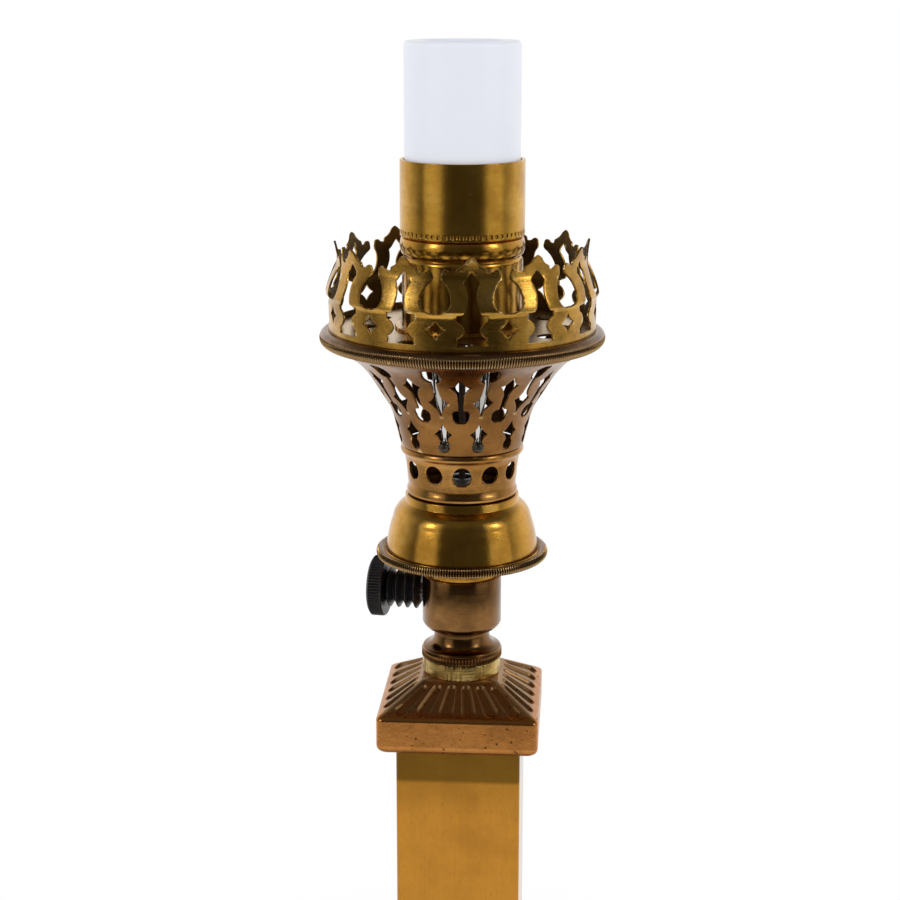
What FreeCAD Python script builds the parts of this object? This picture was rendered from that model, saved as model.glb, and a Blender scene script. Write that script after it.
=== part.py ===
import FreeCAD, Part
import math
import os

# Column table lamp: a square brass column with a fluted cap, and on it the electrified
# fitting of an oil burner with its fretted basket, crown and a plain-skirt lampholder.
# Millimetres. The origin is the centre of the felt's underside, +Z is up, -Y is the
# front. Angles are in degrees, from the front towards the right (+X).

# ---- clearances ----
SEAT_GAP = 0.1        # round pieces that slip into each other
THREAD_GAP = 0.05     # radial room on a threaded tube
LOOSE_GAP = 0.3       # castings and soft pieces
RUNNING_GAP = 0.05    # radial room round the switch shaft

# ---- base ----
FELT_THICK = 2.0
FELT_INSET = 2.0
PLINTH_WIDTH = 132.0
PLINTH_FACE = 16.0
PLINTH_SLOPE = 22.0
PLINTH_TOP_WIDTH = 64.0
PLINTH_WALL = 3.0
PLINTH_EDGE_RADIUS = 2.5
PLINTH_FLUTES = 12
COVER_THICK = 1.5
COVER_SCREW_RADIUS = 2.0
COVER_SCREW_HEAD_RADIUS = 3.8
COVER_SCREW_LENGTH = 10.0
COVER_SCREW_INSET = 14.0
POCKET_RADIUS = 14.0
POCKET_DEPTH = 11.0
CHANNEL_WIDTH = 15.0
GLAND_HEIGHT = 8.0
GLAND_BORE_RADIUS = 3.6
GLAND_BODY_RADIUS = 5.0
GLAND_FLANGE_RADIUS = 7.0
GLAND_FLANGE_THICK = 1.6
GLAND_LENGTH = 14.0
GLAND_NUT_THICK = 3.0
GLAND_NUT_ACROSS = 12.0

# ---- column ----
FOOT_WIDTH = 57.4
FOOT_HEIGHT = 14.0
FOOT_EDGE_RADIUS = 3.0
COLUMN_WIDTH = 44.4
COLUMN_LENGTH = 300.0
COLUMN_WALL = 1.5
COLUMN_EDGE_RADIUS = 1.2
SPIGOT_HEIGHT = 8.0
SPIGOT_WALL = 3.0

# ---- column cap ----
CAP_WIDTH = 57.4
CAP_FACE = 12.9
CAP_HEIGHT = 22.6
CAP_TOP_WIDTH = 28.0
CAP_WALL = 4.0
CAP_EDGE_RADIUS = 2.5
CAP_UNDER_RADIUS = 3.0
CAP_FLUTES = 6
EDGE_BEVEL = 0.9

# ---- flutes on both slopes ----
FLUTE_PITCH_OUT = 7.9
FLUTE_PITCH_IN = 5.2
FLUTE_RADIUS_OUT = 2.6
FLUTE_RADIUS_IN = 1.8
FLUTE_DEPTH = 0.9
FLUTE_END_MARGIN = 1.0

# ---- threaded tube and its nuts ----
TUBE_RADIUS = 5.0
TUBE_BORE_RADIUS = 3.5
NUT_ACROSS_FLATS = 14.0
NUT_THICK = 3.0
WASHER_RADIUS = 10.0
WASHER_THICK = 1.5
TUBE_OVERHANG = 1.5

# ---- lock ring, neck and switch body ----
LOCK_RING_RADIUS = 14.1
LOCK_RING_HEIGHT = 5.6
LOCK_RING_NICKS = 8
NICK_WIDTH = 0.8
NICK_DEPTH = 0.5
NECK_FLANGE_RADIUS = 14.5
NECK_WAIST_RADIUS = 10.0
NECK_HEIGHT = 10.6
KNURL_BAND = 2.6
SWITCH_BODY_RADIUS = 14.2
SWITCH_BODY_HEIGHT = 20.5
SWITCH_BODY_WALL = 1.5
SWITCH_BODY_FLOOR = 2.0
SWITCH_BODY_CHAMFER = 3.0
COLLAR_RADIUS = 13.3
COLLAR_HEIGHT = 7.1
COLLAR_SPIGOT = 1.4
COLLAR_SPIGOT_WALL = 2.0

# ---- rotary switch and its knob ----
KNOB_SKEW = 8.0            # the knob points left and this much to the back
KNOB_ABOVE_BODY = 13.6     # knob axis above the switch body's underside
KNOB_RADIUS = 10.95
KNOB_THICK = 5.6
KNOB_REACH = 33.3          # outer face from the lamp's axis
KNOB_RIM_CHAMFER = 0.8
KNOB_NECK_RIDGES = 4
KNOB_RIDGE_RADIUS = 7.5
KNOB_VALLEY_RADIUS = 5.0
KNOB_TO_BODY = 0.5
SHAFT_RADIUS = 2.0
BLOCK_LENGTH = 18.0
BLOCK_WIDTH = 13.0
BLOCK_HEIGHT = 10.4
BLOCK_BOSS_RADIUS = 4.2
ROTOR_RADIUS = 4.0
ROTOR_ROOM = 0.3
BLOCK_END_WALL = 2.0
SWITCH_COVER_THICK = 1.0
STRIP_THICK = 0.5
STRIP_WIDTH = 3.0
STRIP_SPACING = 5.6
STRIP_TAB = 5.0
SMALL_SCREW_RADIUS = 1.3
SMALL_SCREW_HEAD_RADIUS = 2.2
SMALL_SCREW_HEAD = 0.8
SWITCH_SCREW_LENGTH = 1.6

# ---- bowl ----
BOWL_FOOT_RADIUS = 27.2
BOWL_SHOULDER_RADIUS = 24.6
BOWL_SHOULDER_HEIGHT = 14.8
BOWL_COLLAR_RADIUS = 20.2
BOWL_COLLAR_HEIGHT = 20.4
BOWL_HEIGHT = 23.2
BOWL_WALL = 0.9
BOWL_SWELL = 0.45
BOWL_FLOOR_THICK = 0.8
BOWL_RING_SECTION = 1.7

# ---- air collar ----
AIR_COLLAR_HEIGHT = 18.2
AIR_COLLAR_FOOT_RADIUS = 19.0
AIR_COLLAR_TOP_RADIUS = 20.6
AIR_COLLAR_WALL = 0.8
AIR_COLLAR_FLOOR = 1.0
FOOT_BEAD_HEIGHT = 3.3
FOOT_BEAD_SWELL = 0.6
TOP_BEAD_HEIGHT = 3.2
TOP_BEAD_SWELL = 1.2
AIR_HOLE_RADIUS = 3.25
AIR_HOLE_HEIGHT = 10.3
AIR_HOLE_TURN = 3.7
REPEATS = 12

# ---- fretted basket: (radius, height above the basket's foot) of its outside ----
BASKET_PROFILE = [(21.65, 0.0), (23.3, 6.8), (25.3, 13.3), (29.4, 20.2), (33.4, 26.3), (37.9, 30.9), (43.0, 34.2)]
BASKET_WALL = 0.7
BASKET_SLEEVE = 4.0
BASKET_TURN = 2.8

# ---- gallery ring and plate ----
RING_RADIUS = 47.2
RING_SECTION = 2.7
RING_HEIGHT = 38.4         # ring's centre above the basket's foot
PLATE_THICK = 0.8
PLATE_EDGE_ROOM = 0.3
PLATE_HOLE_RADIUS = 4.2
PLATE_HOLE_CIRCLE = 34.5
LEG_RADIUS = 1.4
LEG_HEAD_RADIUS = 1.7
LEG_HEAD_THICK = 0.9
LEG_FOOT_BEND = 1.6
LEG_BEND = 9.0
LEG_WALL_ROOM = 0.4
LEG_KNEE_HEIGHT = 13.5     # above the basket's foot
LEG_ELBOW_HEIGHT = 28.0
SMALL_HOLE_HEIGHT = 3.4
SMALL_HOLE_RADIUS = 2.0

# ---- fretted crown ----
CROWN_RADIUS = 46.6
CROWN_BULGE_RADIUS = 47.5
CROWN_WAIST_RADIUS = 43.8
CROWN_TIP_RADIUS = 45.3
CROWN_WALL = 0.7
CROWN_TURN = 7.7
CROWN_BAND = 2.2
CROWN_CREASE = 12.0
CROWN_BULGE = 13.6
CROWN_WAIST = 24.0
CROWN_HEIGHT = 31.0

# ---- socket body and cup ----
SOCKET_RADIUS = 21.0
SOCKET_FLANGE_RADIUS = 23.5
SOCKET_WALL = 1.0
SOCKET_SHOULDER_HEIGHT = 23.2
SOCKET_GROOVE_HEIGHT = 25.2
SOCKET_GROOVE_RADIUS = 20.2
SOCKET_BEAD_RADIUS = 21.7
SOCKET_HEIGHT = 32.4
CUP_RADIUS = 21.6
CUP_WALL = 1.2
CUP_HEIGHT = 26.0
CUP_FLOOR = 1.0
DENTILS = 60
DENTIL_RADIUS = 0.45
DENTIL_HEIGHT = 1.4

# ---- lampholder ----
HOLDER_RADIUS = 20.0
HOLDER_RISE = 39.6         # skirt above the cup's rim
HOLDER_WALL = 1.7
HOLDER_TOP = 2.5
HOLDER_EDGE_RADIUS = 1.2
HOLDER_THREAD_RADIUS = 13.3
HOLDER_SLEEVE_WALL = 1.6
HOLDER_SLEEVE_LENGTH = 28.0
HOLDER_CAP_HEIGHT = 17.0
HOLDER_CAP_SLOPE = 4.0
CORE_BELOW_SLEEVE = 4.0
CORE_FLANGE = 3.0
CORE_RADIUS = 12.0
TERMINAL_SCREW_LENGTH = 3.0
CONTACT_THICK = 0.6
CONTACT_WIDTH = 6.0
CONTACT_RISE = 2.8
CONTACT_SPAN = 9.0
SIDE_CONTACT_RISE = 3.4
LEAD_RADIUS = 1.1
LEAD_SPACING = 2.8
HOLDER_TUBE_LENGTH = 10.0

# ---- stack of heights ----
plinth_z = FELT_THICK
plinth_face_z = plinth_z + PLINTH_FACE
plinth_top_z = plinth_face_z + PLINTH_SLOPE
column_z = plinth_top_z + FOOT_HEIGHT
cap_z = column_z + COLUMN_LENGTH
lock_ring_z = cap_z + CAP_HEIGHT
neck_z = lock_ring_z + LOCK_RING_HEIGHT
switch_z = neck_z + NECK_HEIGHT
collar_z = switch_z + SWITCH_BODY_HEIGHT
bowl_z = collar_z + COLLAR_HEIGHT
air_collar_z = bowl_z + BOWL_HEIGHT
basket_z = air_collar_z + AIR_COLLAR_HEIGHT
ring_z = basket_z + RING_HEIGHT
knob_z = switch_z + KNOB_ABOVE_BODY

# the plate lies on the ring's inner shoulder, the crown stands on the ring's top
crown_inner_radius = CROWN_RADIUS - CROWN_WALL
plate_radius = crown_inner_radius - PLATE_EDGE_ROOM
plate_z = ring_z + math.sqrt(RING_SECTION ** 2 - (RING_RADIUS - plate_radius) ** 2)
crown_z = ring_z + RING_SECTION
socket_z = plate_z + PLATE_THICK
cup_z = socket_z + SOCKET_HEIGHT
cup_rim_z = cup_z + CUP_HEIGHT
holder_z = cup_z + CUP_FLOOR
holder_split_z = holder_z + HOLDER_CAP_HEIGHT
holder_top_z = cup_rim_z + HOLDER_RISE
sleeve_z = holder_top_z - HOLDER_SLEEVE_LENGTH

bowl_ring_radius = BOWL_FOOT_RADIUS + SEAT_GAP + BOWL_RING_SECTION
bore_on_tube = TUBE_RADIUS + THREAD_GAP
shell_bore_radius = SWITCH_BODY_RADIUS - SWITCH_BODY_WALL
step_angle = 360.0 / REPEATS

AXIS = FreeCAD.Vector(0, 0, 1)
CENTRE = FreeCAD.Vector(0, 0, 0)


# ---- drawing helpers ----

def outline(corners, place):
    """Closed wire through corners (a, b), or (a, b, bulge) for an arc that ends there
    and bulges to the right of its way by that much."""
    edges = []
    here = corners[-1]
    for corner in corners:
        a, b = corner[:2]
        run_a = a - here[0]
        run_b = b - here[1]
        length = math.hypot(run_a, run_b)
        if length < 1e-6:
            here = corner
            continue
        if len(corner) == 3:
            bulge = corner[2] / length
            middle = ((here[0] + a) / 2 + run_b * bulge, (here[1] + b) / 2 - run_a * bulge)
            edges.append(Part.Arc(place(here), place(middle), place(corner)).toShape())
        else:
            edges.append(Part.LineSegment(place(here), place(corner)).toShape())
        here = corner
    return Part.Wire(edges)


def mirrored(half):
    """Corners of an outline from its right half, which goes up from the axis to the
    axis."""
    left = []
    for index in range(len(half) - 1, 0, -1):
        below = half[index - 1]
        if len(half[index]) == 3:
            left.append((-below[0], below[1], half[index][2]))
        else:
            left.append((-below[0], below[1]))
    return half + left


def lathe(corners):
    """Solid of revolution about the lamp's axis from corners (radius, height)."""
    wire = outline(corners, lambda p: FreeCAD.Vector(p[0], 0, p[1]))
    return Part.Face(wire).revolve(CENTRE, AXIS, 360)


def disc(radius, low, high):
    return Part.makeCylinder(radius, high - low, FreeCAD.Vector(0, 0, low))


def tube(bore, radius, low, high):
    return disc(radius, low, high).cut(disc(bore, low - 1, high + 1))


def torus(radius, section, height):
    return Part.makeTorus(radius, section, FreeCAD.Vector(0, 0, height))


def radial_prism(corners, near, far):
    """Outline (across, height) at the front, drawn out from radius near to far."""
    wire = outline(corners, lambda p: FreeCAD.Vector(p[0], -near, p[1]))
    return Part.Face(wire).extrude(FreeCAD.Vector(0, near - far, 0))


def turned(shape, angle):
    copy = shape.copy()
    copy.rotate(CENTRE, AXIS, angle)
    return copy


def all_round(shape, first, count):
    """Copies of a shape at equal angles round the lamp."""
    return [turned(shape, first + index * 360.0 / count) for index in range(count)]


def square_wire(width, corner, height):
    """Square with rounded corners, at one height."""
    half = width / 2
    flat = half - corner
    bulge = corner * (1 - math.sqrt(0.5))
    corners = [(half, -flat, bulge), (half, flat), (flat, half, bulge), (-flat, half),
               (-half, flat, bulge), (-half, -flat), (-flat, -half, bulge), (flat, -half)]
    return outline(corners, lambda p: FreeCAD.Vector(p[0], p[1], height))


def square_stack(levels, corner):
    """Solid through squares (width, height) laid on each other."""
    wires = [square_wire(width, corner, height) for width, height in levels]
    return Part.makeLoft(wires, True, True)


def square_bar(width, corner, low, high):
    return square_stack([(width, low), (width, high)], corner)


def hex_nut(across, bore, low, thick):
    reach = across / math.sqrt(3)
    corners = [(reach * math.cos(math.radians(60 * k)), reach * math.sin(math.radians(60 * k)))
               for k in range(6)]
    wire = outline(corners, lambda p: FreeCAD.Vector(p[0], p[1], low))
    nut = Part.Face(wire).extrude(FreeCAD.Vector(0, 0, thick))
    chamfer = lathe([(0, low - 1), (reach, low - 1), (reach, low + thick - reach * 0.1),
                     (reach * 0.9, low + thick), (0, low + thick)])
    return nut.common(chamfer).cut(disc(bore, low - 1, low + thick + 1))


def along_knob(shape):
    """A shape made about the X axis, its outer end at -X, moved to the switch's axis."""
    copy = shape.copy()
    copy.translate(FreeCAD.Vector(0, 0, knob_z))
    copy.rotate(CENTRE, AXIS, -KNOB_SKEW)
    return copy


def x_lathe(corners):
    """Solid of revolution about the X axis from corners (distance to the left, radius)."""
    wire = outline(corners, lambda p: FreeCAD.Vector(-p[0], 0, p[1]))
    return Part.Face(wire).revolve(CENTRE, FreeCAD.Vector(1, 0, 0), 360)


def flutes(width, top_width, low, high, count, spread):
    """Cutters of the sunk flutes that fan over the four slopes of a hip."""
    half = width / 2
    run = (width - top_width) / 2
    rise = high - low
    slope = math.hypot(run, rise)
    start = FLUTE_RADIUS_OUT + FLUTE_END_MARGIN
    end = slope - FLUTE_RADIUS_IN - FLUTE_END_MARGIN
    cutters = []
    for index in range(count):
        place = index - (count - 1) / 2
        out = (place * FLUTE_PITCH_OUT * spread, start)
        into = (place * FLUTE_PITCH_IN * spread, end)
        tilt = math.atan2(out[0] - into[0], into[1] - out[1])
        side = (math.cos(tilt), math.sin(tilt))
        corners = [
            (out[0] + side[0] * FLUTE_RADIUS_OUT, out[1] + side[1] * FLUTE_RADIUS_OUT, FLUTE_RADIUS_OUT),
            (into[0] + side[0] * FLUTE_RADIUS_IN, into[1] + side[1] * FLUTE_RADIUS_IN),
            (into[0] - side[0] * FLUTE_RADIUS_IN, into[1] - side[1] * FLUTE_RADIUS_IN, FLUTE_RADIUS_IN),
            (out[0] - side[0] * FLUTE_RADIUS_OUT, out[1] - side[1] * FLUTE_RADIUS_OUT),
        ]
        wire = outline(corners, lambda p: FreeCAD.Vector(
            p[0], -half + p[1] * run / slope, low + p[1] * rise / slope))
        normal = FreeCAD.Vector(0, -rise, run) * (1 / slope)
        wire.translate(normal * -FLUTE_DEPTH)
        cutter = Part.Face(wire).extrude(normal * (2 * FLUTE_DEPTH))
        cutters += all_round(cutter, 0, 4)
    return cutters


# ---- base ----

def plinth_levels(inset):
    """Squares (width, height) of the plinth's outside, moved in by the inset."""
    width = PLINTH_WIDTH - 2 * inset
    slope_run = (PLINTH_WIDTH - PLINTH_TOP_WIDTH) / 2 - EDGE_BEVEL
    slope_rise = PLINTH_SLOPE - EDGE_BEVEL
    drop = inset * (math.hypot(slope_run, slope_rise) - slope_rise) / slope_run
    return [(width, plinth_z),
            (width, plinth_face_z - drop),
            (width - 2 * EDGE_BEVEL, plinth_face_z + EDGE_BEVEL - drop),
            (PLINTH_TOP_WIDTH - 2 * inset, plinth_top_z - drop)]


def felt_pad():
    return square_bar(PLINTH_WIDTH - 2 * FELT_INSET, PLINTH_EDGE_RADIUS, 0, FELT_THICK)


def gland_cut(radius, near, far):
    return Part.makeCylinder(radius, far - near, FreeCAD.Vector(0, near, plinth_z + GLAND_HEIGHT),
                             FreeCAD.Vector(0, 1, 0))


def base_plinth():
    outside = square_stack(plinth_levels(0), PLINTH_EDGE_RADIUS)
    inside = plinth_levels(PLINTH_WALL)
    inside[-1] = (inside[-1][0], plinth_top_z - PLINTH_WALL)
    slope_width = PLINTH_WIDTH - 2 * EDGE_BEVEL
    cutters = flutes(slope_width, PLINTH_TOP_WIDTH, plinth_face_z + EDGE_BEVEL, plinth_top_z, PLINTH_FLUTES, 1.15)
    half = PLINTH_WIDTH / 2
    shell = outside.cut(square_stack(inside, PLINTH_EDGE_RADIUS))
    shell = shell.cut(disc(bore_on_tube + SEAT_GAP, plinth_z, plinth_top_z + 1))
    shell = shell.cut(gland_cut(GLAND_BODY_RADIUS + SEAT_GAP, half - PLINTH_WALL - 1, half + 1))
    shell = shell.cut(gland_cut(GLAND_FLANGE_RADIUS + SEAT_GAP, half - GLAND_FLANGE_THICK, half + 1))
    return shell.cut(cutters)


def cover_screw_places():
    place = PLINTH_WIDTH / 2 - PLINTH_WALL - COVER_SCREW_INSET
    return [(x * place, y * place) for x in (-1, 1) for y in (-1, 1)]


def cover_screw(grow):
    """One countersunk screw; grow widens it into the hole that it needs."""
    sink = COVER_SCREW_HEAD_RADIUS - COVER_SCREW_RADIUS
    return lathe([(0, plinth_z), (COVER_SCREW_HEAD_RADIUS + grow, plinth_z),
                  (COVER_SCREW_RADIUS + grow, plinth_z + sink),
                  (COVER_SCREW_RADIUS + grow, plinth_z + COVER_SCREW_LENGTH + grow),
                  (0, plinth_z + COVER_SCREW_LENGTH + grow)])


def cover_screw_group(grow):
    group = []
    for x, y in cover_screw_places():
        screw = cover_screw(grow)
        screw.translate(FreeCAD.Vector(x, y, 0))
        group.append(screw)
    return group


def cover_screws():
    return Part.makeCompound(cover_screw_group(0))


def base_cover():
    width = PLINTH_WIDTH - 2 * PLINTH_WALL - 2 * LOOSE_GAP
    plate = square_bar(width, PLINTH_EDGE_RADIUS, plinth_z, plinth_z + COVER_THICK)
    return plate.cut(cover_screw_group(SEAT_GAP))


def base_weight():
    low = plinth_z + COVER_THICK
    levels = plinth_levels(PLINTH_WALL + LOOSE_GAP)
    levels[0] = (levels[0][0], low)
    levels[-1] = (levels[-1][0], plinth_top_z - PLINTH_WALL)
    block = square_stack(levels, PLINTH_EDGE_RADIUS)
    block = block.cut(disc(POCKET_RADIUS, low - 1, low + POCKET_DEPTH))
    block = block.cut(disc(bore_on_tube + SEAT_GAP, low, plinth_top_z))
    channel_top = plinth_z + GLAND_HEIGHT + CHANNEL_WIDTH / 2
    channel = Part.makeBox(CHANNEL_WIDTH, PLINTH_WIDTH / 2, channel_top - low + 1,
                           FreeCAD.Vector(-CHANNEL_WIDTH / 2, 0, low - 1))
    return block.cut([channel] + cover_screw_group(0))


def cord_gland():
    half = PLINTH_WIDTH / 2
    body = gland_cut(GLAND_BODY_RADIUS, half - GLAND_LENGTH, half)
    flange = gland_cut(GLAND_FLANGE_RADIUS, half - GLAND_FLANGE_THICK, half)
    bore = gland_cut(GLAND_BORE_RADIUS, half - GLAND_LENGTH - 1, half + 1)
    return body.fuse(flange).cut(bore)


def gland_nut():
    far = PLINTH_WIDTH / 2 - PLINTH_WALL
    nut = hex_nut(GLAND_NUT_ACROSS, GLAND_BODY_RADIUS + THREAD_GAP, 0, GLAND_NUT_THICK)
    nut.rotate(CENTRE, FreeCAD.Vector(1, 0, 0), 90)
    nut.translate(FreeCAD.Vector(0, far, plinth_z + GLAND_HEIGHT))
    return nut


def stem_pocket_top():
    return plinth_z + COVER_THICK + POCKET_DEPTH


def stem_washer():
    top = stem_pocket_top()
    return tube(bore_on_tube, WASHER_RADIUS, top - WASHER_THICK, top)


def stem_nut():
    return hex_nut(NUT_ACROSS_FLATS, bore_on_tube, stem_pocket_top() - WASHER_THICK - NUT_THICK, NUT_THICK)


def stem_tube():
    low = stem_pocket_top() - WASHER_THICK - NUT_THICK - TUBE_OVERHANG
    high = switch_z + SWITCH_BODY_FLOOR + NUT_THICK + TUBE_OVERHANG
    return tube(TUBE_BORE_RADIUS, TUBE_RADIUS, low, high)


# ---- column ----

def spigot_width():
    return COLUMN_WIDTH - 2 * COLUMN_WALL - 2 * LOOSE_GAP


def foot_block():
    soft = FOOT_EDGE_RADIUS
    quarter = soft * (1 - math.sqrt(0.5))
    low = plinth_top_z
    high = column_z
    levels = [(FOOT_WIDTH - 2 * soft, low), (FOOT_WIDTH - 2 * quarter, low + quarter),
              (FOOT_WIDTH, low + soft), (FOOT_WIDTH, high - soft),
              (FOOT_WIDTH - 2 * quarter, high - quarter), (FOOT_WIDTH - 2 * soft, high)]
    block = square_stack(levels, CAP_EDGE_RADIUS)
    spigot = square_bar(spigot_width(), COLUMN_EDGE_RADIUS, high, high + SPIGOT_HEIGHT)
    return block.fuse(spigot).cut(disc(bore_on_tube + SEAT_GAP, low - 1, high + SPIGOT_HEIGHT + 1))


def column_tube():
    outside = square_bar(COLUMN_WIDTH, COLUMN_EDGE_RADIUS, column_z, cap_z)
    inner_width = COLUMN_WIDTH - 2 * COLUMN_WALL
    return outside.cut(square_bar(inner_width, COLUMN_EDGE_RADIUS / 2, column_z - 1, cap_z + 1))


def column_cap():
    under = CAP_UNDER_RADIUS
    quarter = under * (1 - math.sqrt(0.5))
    slope_z = cap_z + CAP_FACE + EDGE_BEVEL
    slope_width = CAP_WIDTH - 2 * EDGE_BEVEL
    top = cap_z + CAP_HEIGHT
    levels = [(CAP_WIDTH - 2 * under, cap_z), (CAP_WIDTH - 2 * quarter, cap_z + quarter),
              (CAP_WIDTH, cap_z + under), (CAP_WIDTH, cap_z + CAP_FACE),
              (slope_width, slope_z), (CAP_TOP_WIDTH, top)]
    block = square_stack(levels, CAP_EDGE_RADIUS)
    spigot = square_bar(spigot_width(), COLUMN_EDGE_RADIUS, cap_z - SPIGOT_HEIGHT, cap_z)
    hollow_width = spigot_width() - 2 * SPIGOT_WALL
    hollow = square_stack([(hollow_width, cap_z - SPIGOT_HEIGHT - 1), (hollow_width, cap_z + CAP_FACE - CAP_WALL),
                           (CAP_TOP_WIDTH - CAP_WALL, top - CAP_WALL)], COLUMN_EDGE_RADIUS)
    cap = block.fuse(spigot).cut(hollow).cut(disc(bore_on_tube + SEAT_GAP, cap_z, top + 1))
    return cap.cut(flutes(slope_width, CAP_TOP_WIDTH, slope_z, top, CAP_FLUTES, 1.0))


# ---- neck and switch body ----

def lock_ring():
    ring = tube(bore_on_tube, LOCK_RING_RADIUS, lock_ring_z, neck_z)
    nick = Part.makeBox(NICK_WIDTH, 2 * NICK_DEPTH, LOCK_RING_HEIGHT,
                        FreeCAD.Vector(-NICK_WIDTH / 2, -LOCK_RING_RADIUS - NICK_DEPTH, lock_ring_z))
    return ring.cut(all_round(nick, 18.0, LOCK_RING_NICKS))


def neck_flange():
    wide = NECK_FLANGE_RADIUS
    waist = NECK_WAIST_RADIUS
    lip = neck_z + LOOSE_GAP
    knurl_top = lip + KNURL_BAND
    return lathe([(bore_on_tube, neck_z), (wide - 1, neck_z), (wide - 1, lip), (wide, lip),
                  (wide, knurl_top), (wide - 0.5, knurl_top + 0.3),
                  (wide - 0.8, knurl_top + 1.2, 0.25),
                  (waist + 0.8, knurl_top + 3.0, -0.35),
                  (waist, switch_z - 1.0, -0.3), (waist, switch_z), (bore_on_tube, switch_z)])


def switch_body():
    radius = SWITCH_BODY_RADIUS
    chamfer = SWITCH_BODY_CHAMFER
    shell = lathe([(bore_on_tube, switch_z), (radius - chamfer, switch_z),
                   (radius, switch_z + chamfer, 0.5), (radius, collar_z), (shell_bore_radius, collar_z),
                   (shell_bore_radius, switch_z + SWITCH_BODY_FLOOR + chamfer),
                   (radius - chamfer - 0.6, switch_z + SWITCH_BODY_FLOOR),
                   (bore_on_tube, switch_z + SWITCH_BODY_FLOOR)])
    hole = x_lathe([(0, 0), (0, BLOCK_BOSS_RADIUS + SEAT_GAP), (radius + 1, BLOCK_BOSS_RADIUS + SEAT_GAP),
                    (radius + 1, 0)])
    return shell.cut(along_knob(hole))


def body_nut():
    return hex_nut(NUT_ACROSS_FLATS, bore_on_tube, switch_z + SWITCH_BODY_FLOOR, NUT_THICK)


def body_collar():
    spigot = shell_bore_radius - SEAT_GAP
    foot = collar_z - COLLAR_SPIGOT
    return lathe([(bore_on_tube, collar_z), (spigot - COLLAR_SPIGOT_WALL, collar_z),
                  (spigot - COLLAR_SPIGOT_WALL, foot), (spigot, foot), (spigot, collar_z),
                  (COLLAR_RADIUS, collar_z), (COLLAR_RADIUS, bowl_z), (bore_on_tube, bowl_z)])


# ---- rotary switch ----

def block_left():
    return BLOCK_LENGTH / 2


def rotor_span():
    return BLOCK_LENGTH - BLOCK_END_WALL - SWITCH_COVER_THICK - 2 * ROTOR_ROOM


def rotor_left():
    return block_left() - BLOCK_END_WALL - ROTOR_ROOM


def strip_slots(room):
    """The two slots of the contact strips, or with no room the strips' uprights, which
    end just clear of the rotor."""
    near = (STRIP_SPACING - STRIP_THICK) / 2
    low = math.sqrt(ROTOR_RADIUS ** 2 - near ** 2) + 2 * RUNNING_GAP
    return [Part.makeBox(STRIP_WIDTH + 2 * room, STRIP_THICK + 2 * room, BLOCK_HEIGHT / 2 - low + STRIP_THICK,
                         FreeCAD.Vector(-STRIP_WIDTH / 2 - room, side * STRIP_SPACING / 2 - STRIP_THICK / 2 - room, low))
            for side in (-1, 1)]


def switch_block():
    box = Part.makeBox(BLOCK_LENGTH - SWITCH_COVER_THICK, BLOCK_WIDTH, BLOCK_HEIGHT,
                       FreeCAD.Vector(-block_left(), -BLOCK_WIDTH / 2, -BLOCK_HEIGHT / 2))
    boss_end = SWITCH_BODY_RADIUS - LOOSE_GAP
    boss = x_lathe([(block_left() - 1, 0), (block_left() - 1, BLOCK_BOSS_RADIUS), (boss_end, BLOCK_BOSS_RADIUS),
                    (boss_end, 0)])
    room = ROTOR_RADIUS + ROTOR_ROOM
    cavity = x_lathe([(-block_left() - 1, 0), (-block_left() - 1, room), (block_left() - BLOCK_END_WALL, room),
                      (block_left() - BLOCK_END_WALL, 0)])
    bore = x_lathe([(0, 0), (0, SHAFT_RADIUS + RUNNING_GAP), (boss_end + 1, SHAFT_RADIUS + RUNNING_GAP),
                    (boss_end + 1, 0)])
    return along_knob(box.fuse(boss).cut([cavity, bore] + strip_slots(RUNNING_GAP) + switch_screw_set()))


def switch_cover():
    left = block_left() - SWITCH_COVER_THICK
    plate = Part.makeBox(SWITCH_COVER_THICK, BLOCK_WIDTH, BLOCK_HEIGHT,
                         FreeCAD.Vector(left, -BLOCK_WIDTH / 2, -BLOCK_HEIGHT / 2))
    return along_knob(plate)


def switch_rotor():
    left = rotor_left()
    right = left - rotor_span()
    bead = ROTOR_RADIUS - 0.6
    return along_knob(x_lathe([(right, SHAFT_RADIUS), (right, bead), (right + 1, bead), (right + 1, ROTOR_RADIUS),
                               (left - 1, ROTOR_RADIUS), (left - 1, bead), (left, bead), (left, SHAFT_RADIUS)]))


def knob_disc_left():
    return KNOB_REACH - KNOB_THICK


def switch_shaft():
    right = rotor_left() - rotor_span()
    left = KNOB_REACH - KNOB_THICK / 2
    return along_knob(x_lathe([(right, 0), (right, SHAFT_RADIUS), (left, SHAFT_RADIUS), (left, 0)]))


def switch_knob():
    start = SWITCH_BODY_RADIUS + KNOB_TO_BODY
    end = knob_disc_left()
    pitch = (end - start) / KNOB_NECK_RIDGES
    valley = KNOB_VALLEY_RADIUS
    corners = [(start, SHAFT_RADIUS), (start, valley)]
    for ridge in range(KNOB_NECK_RIDGES):
        at = start + ridge * pitch
        corners += [(at + 0.45 * pitch, KNOB_RIDGE_RADIUS), (at + 0.6 * pitch, KNOB_RIDGE_RADIUS)]
        corners += [(at + pitch, valley)]
    chamfer = KNOB_RIM_CHAMFER
    socket_end = KNOB_REACH - KNOB_THICK / 2
    corners += [(end, KNOB_RADIUS - chamfer / 2), (end + chamfer / 2, KNOB_RADIUS),
                (KNOB_REACH - chamfer, KNOB_RADIUS), (KNOB_REACH, KNOB_RADIUS - 1.5 * chamfer),
                (KNOB_REACH - 0.5, KNOB_RADIUS - 3 * chamfer), (KNOB_REACH, 0),
                (socket_end, 0), (socket_end, SHAFT_RADIUS)]
    return along_knob(x_lathe(corners))


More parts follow.
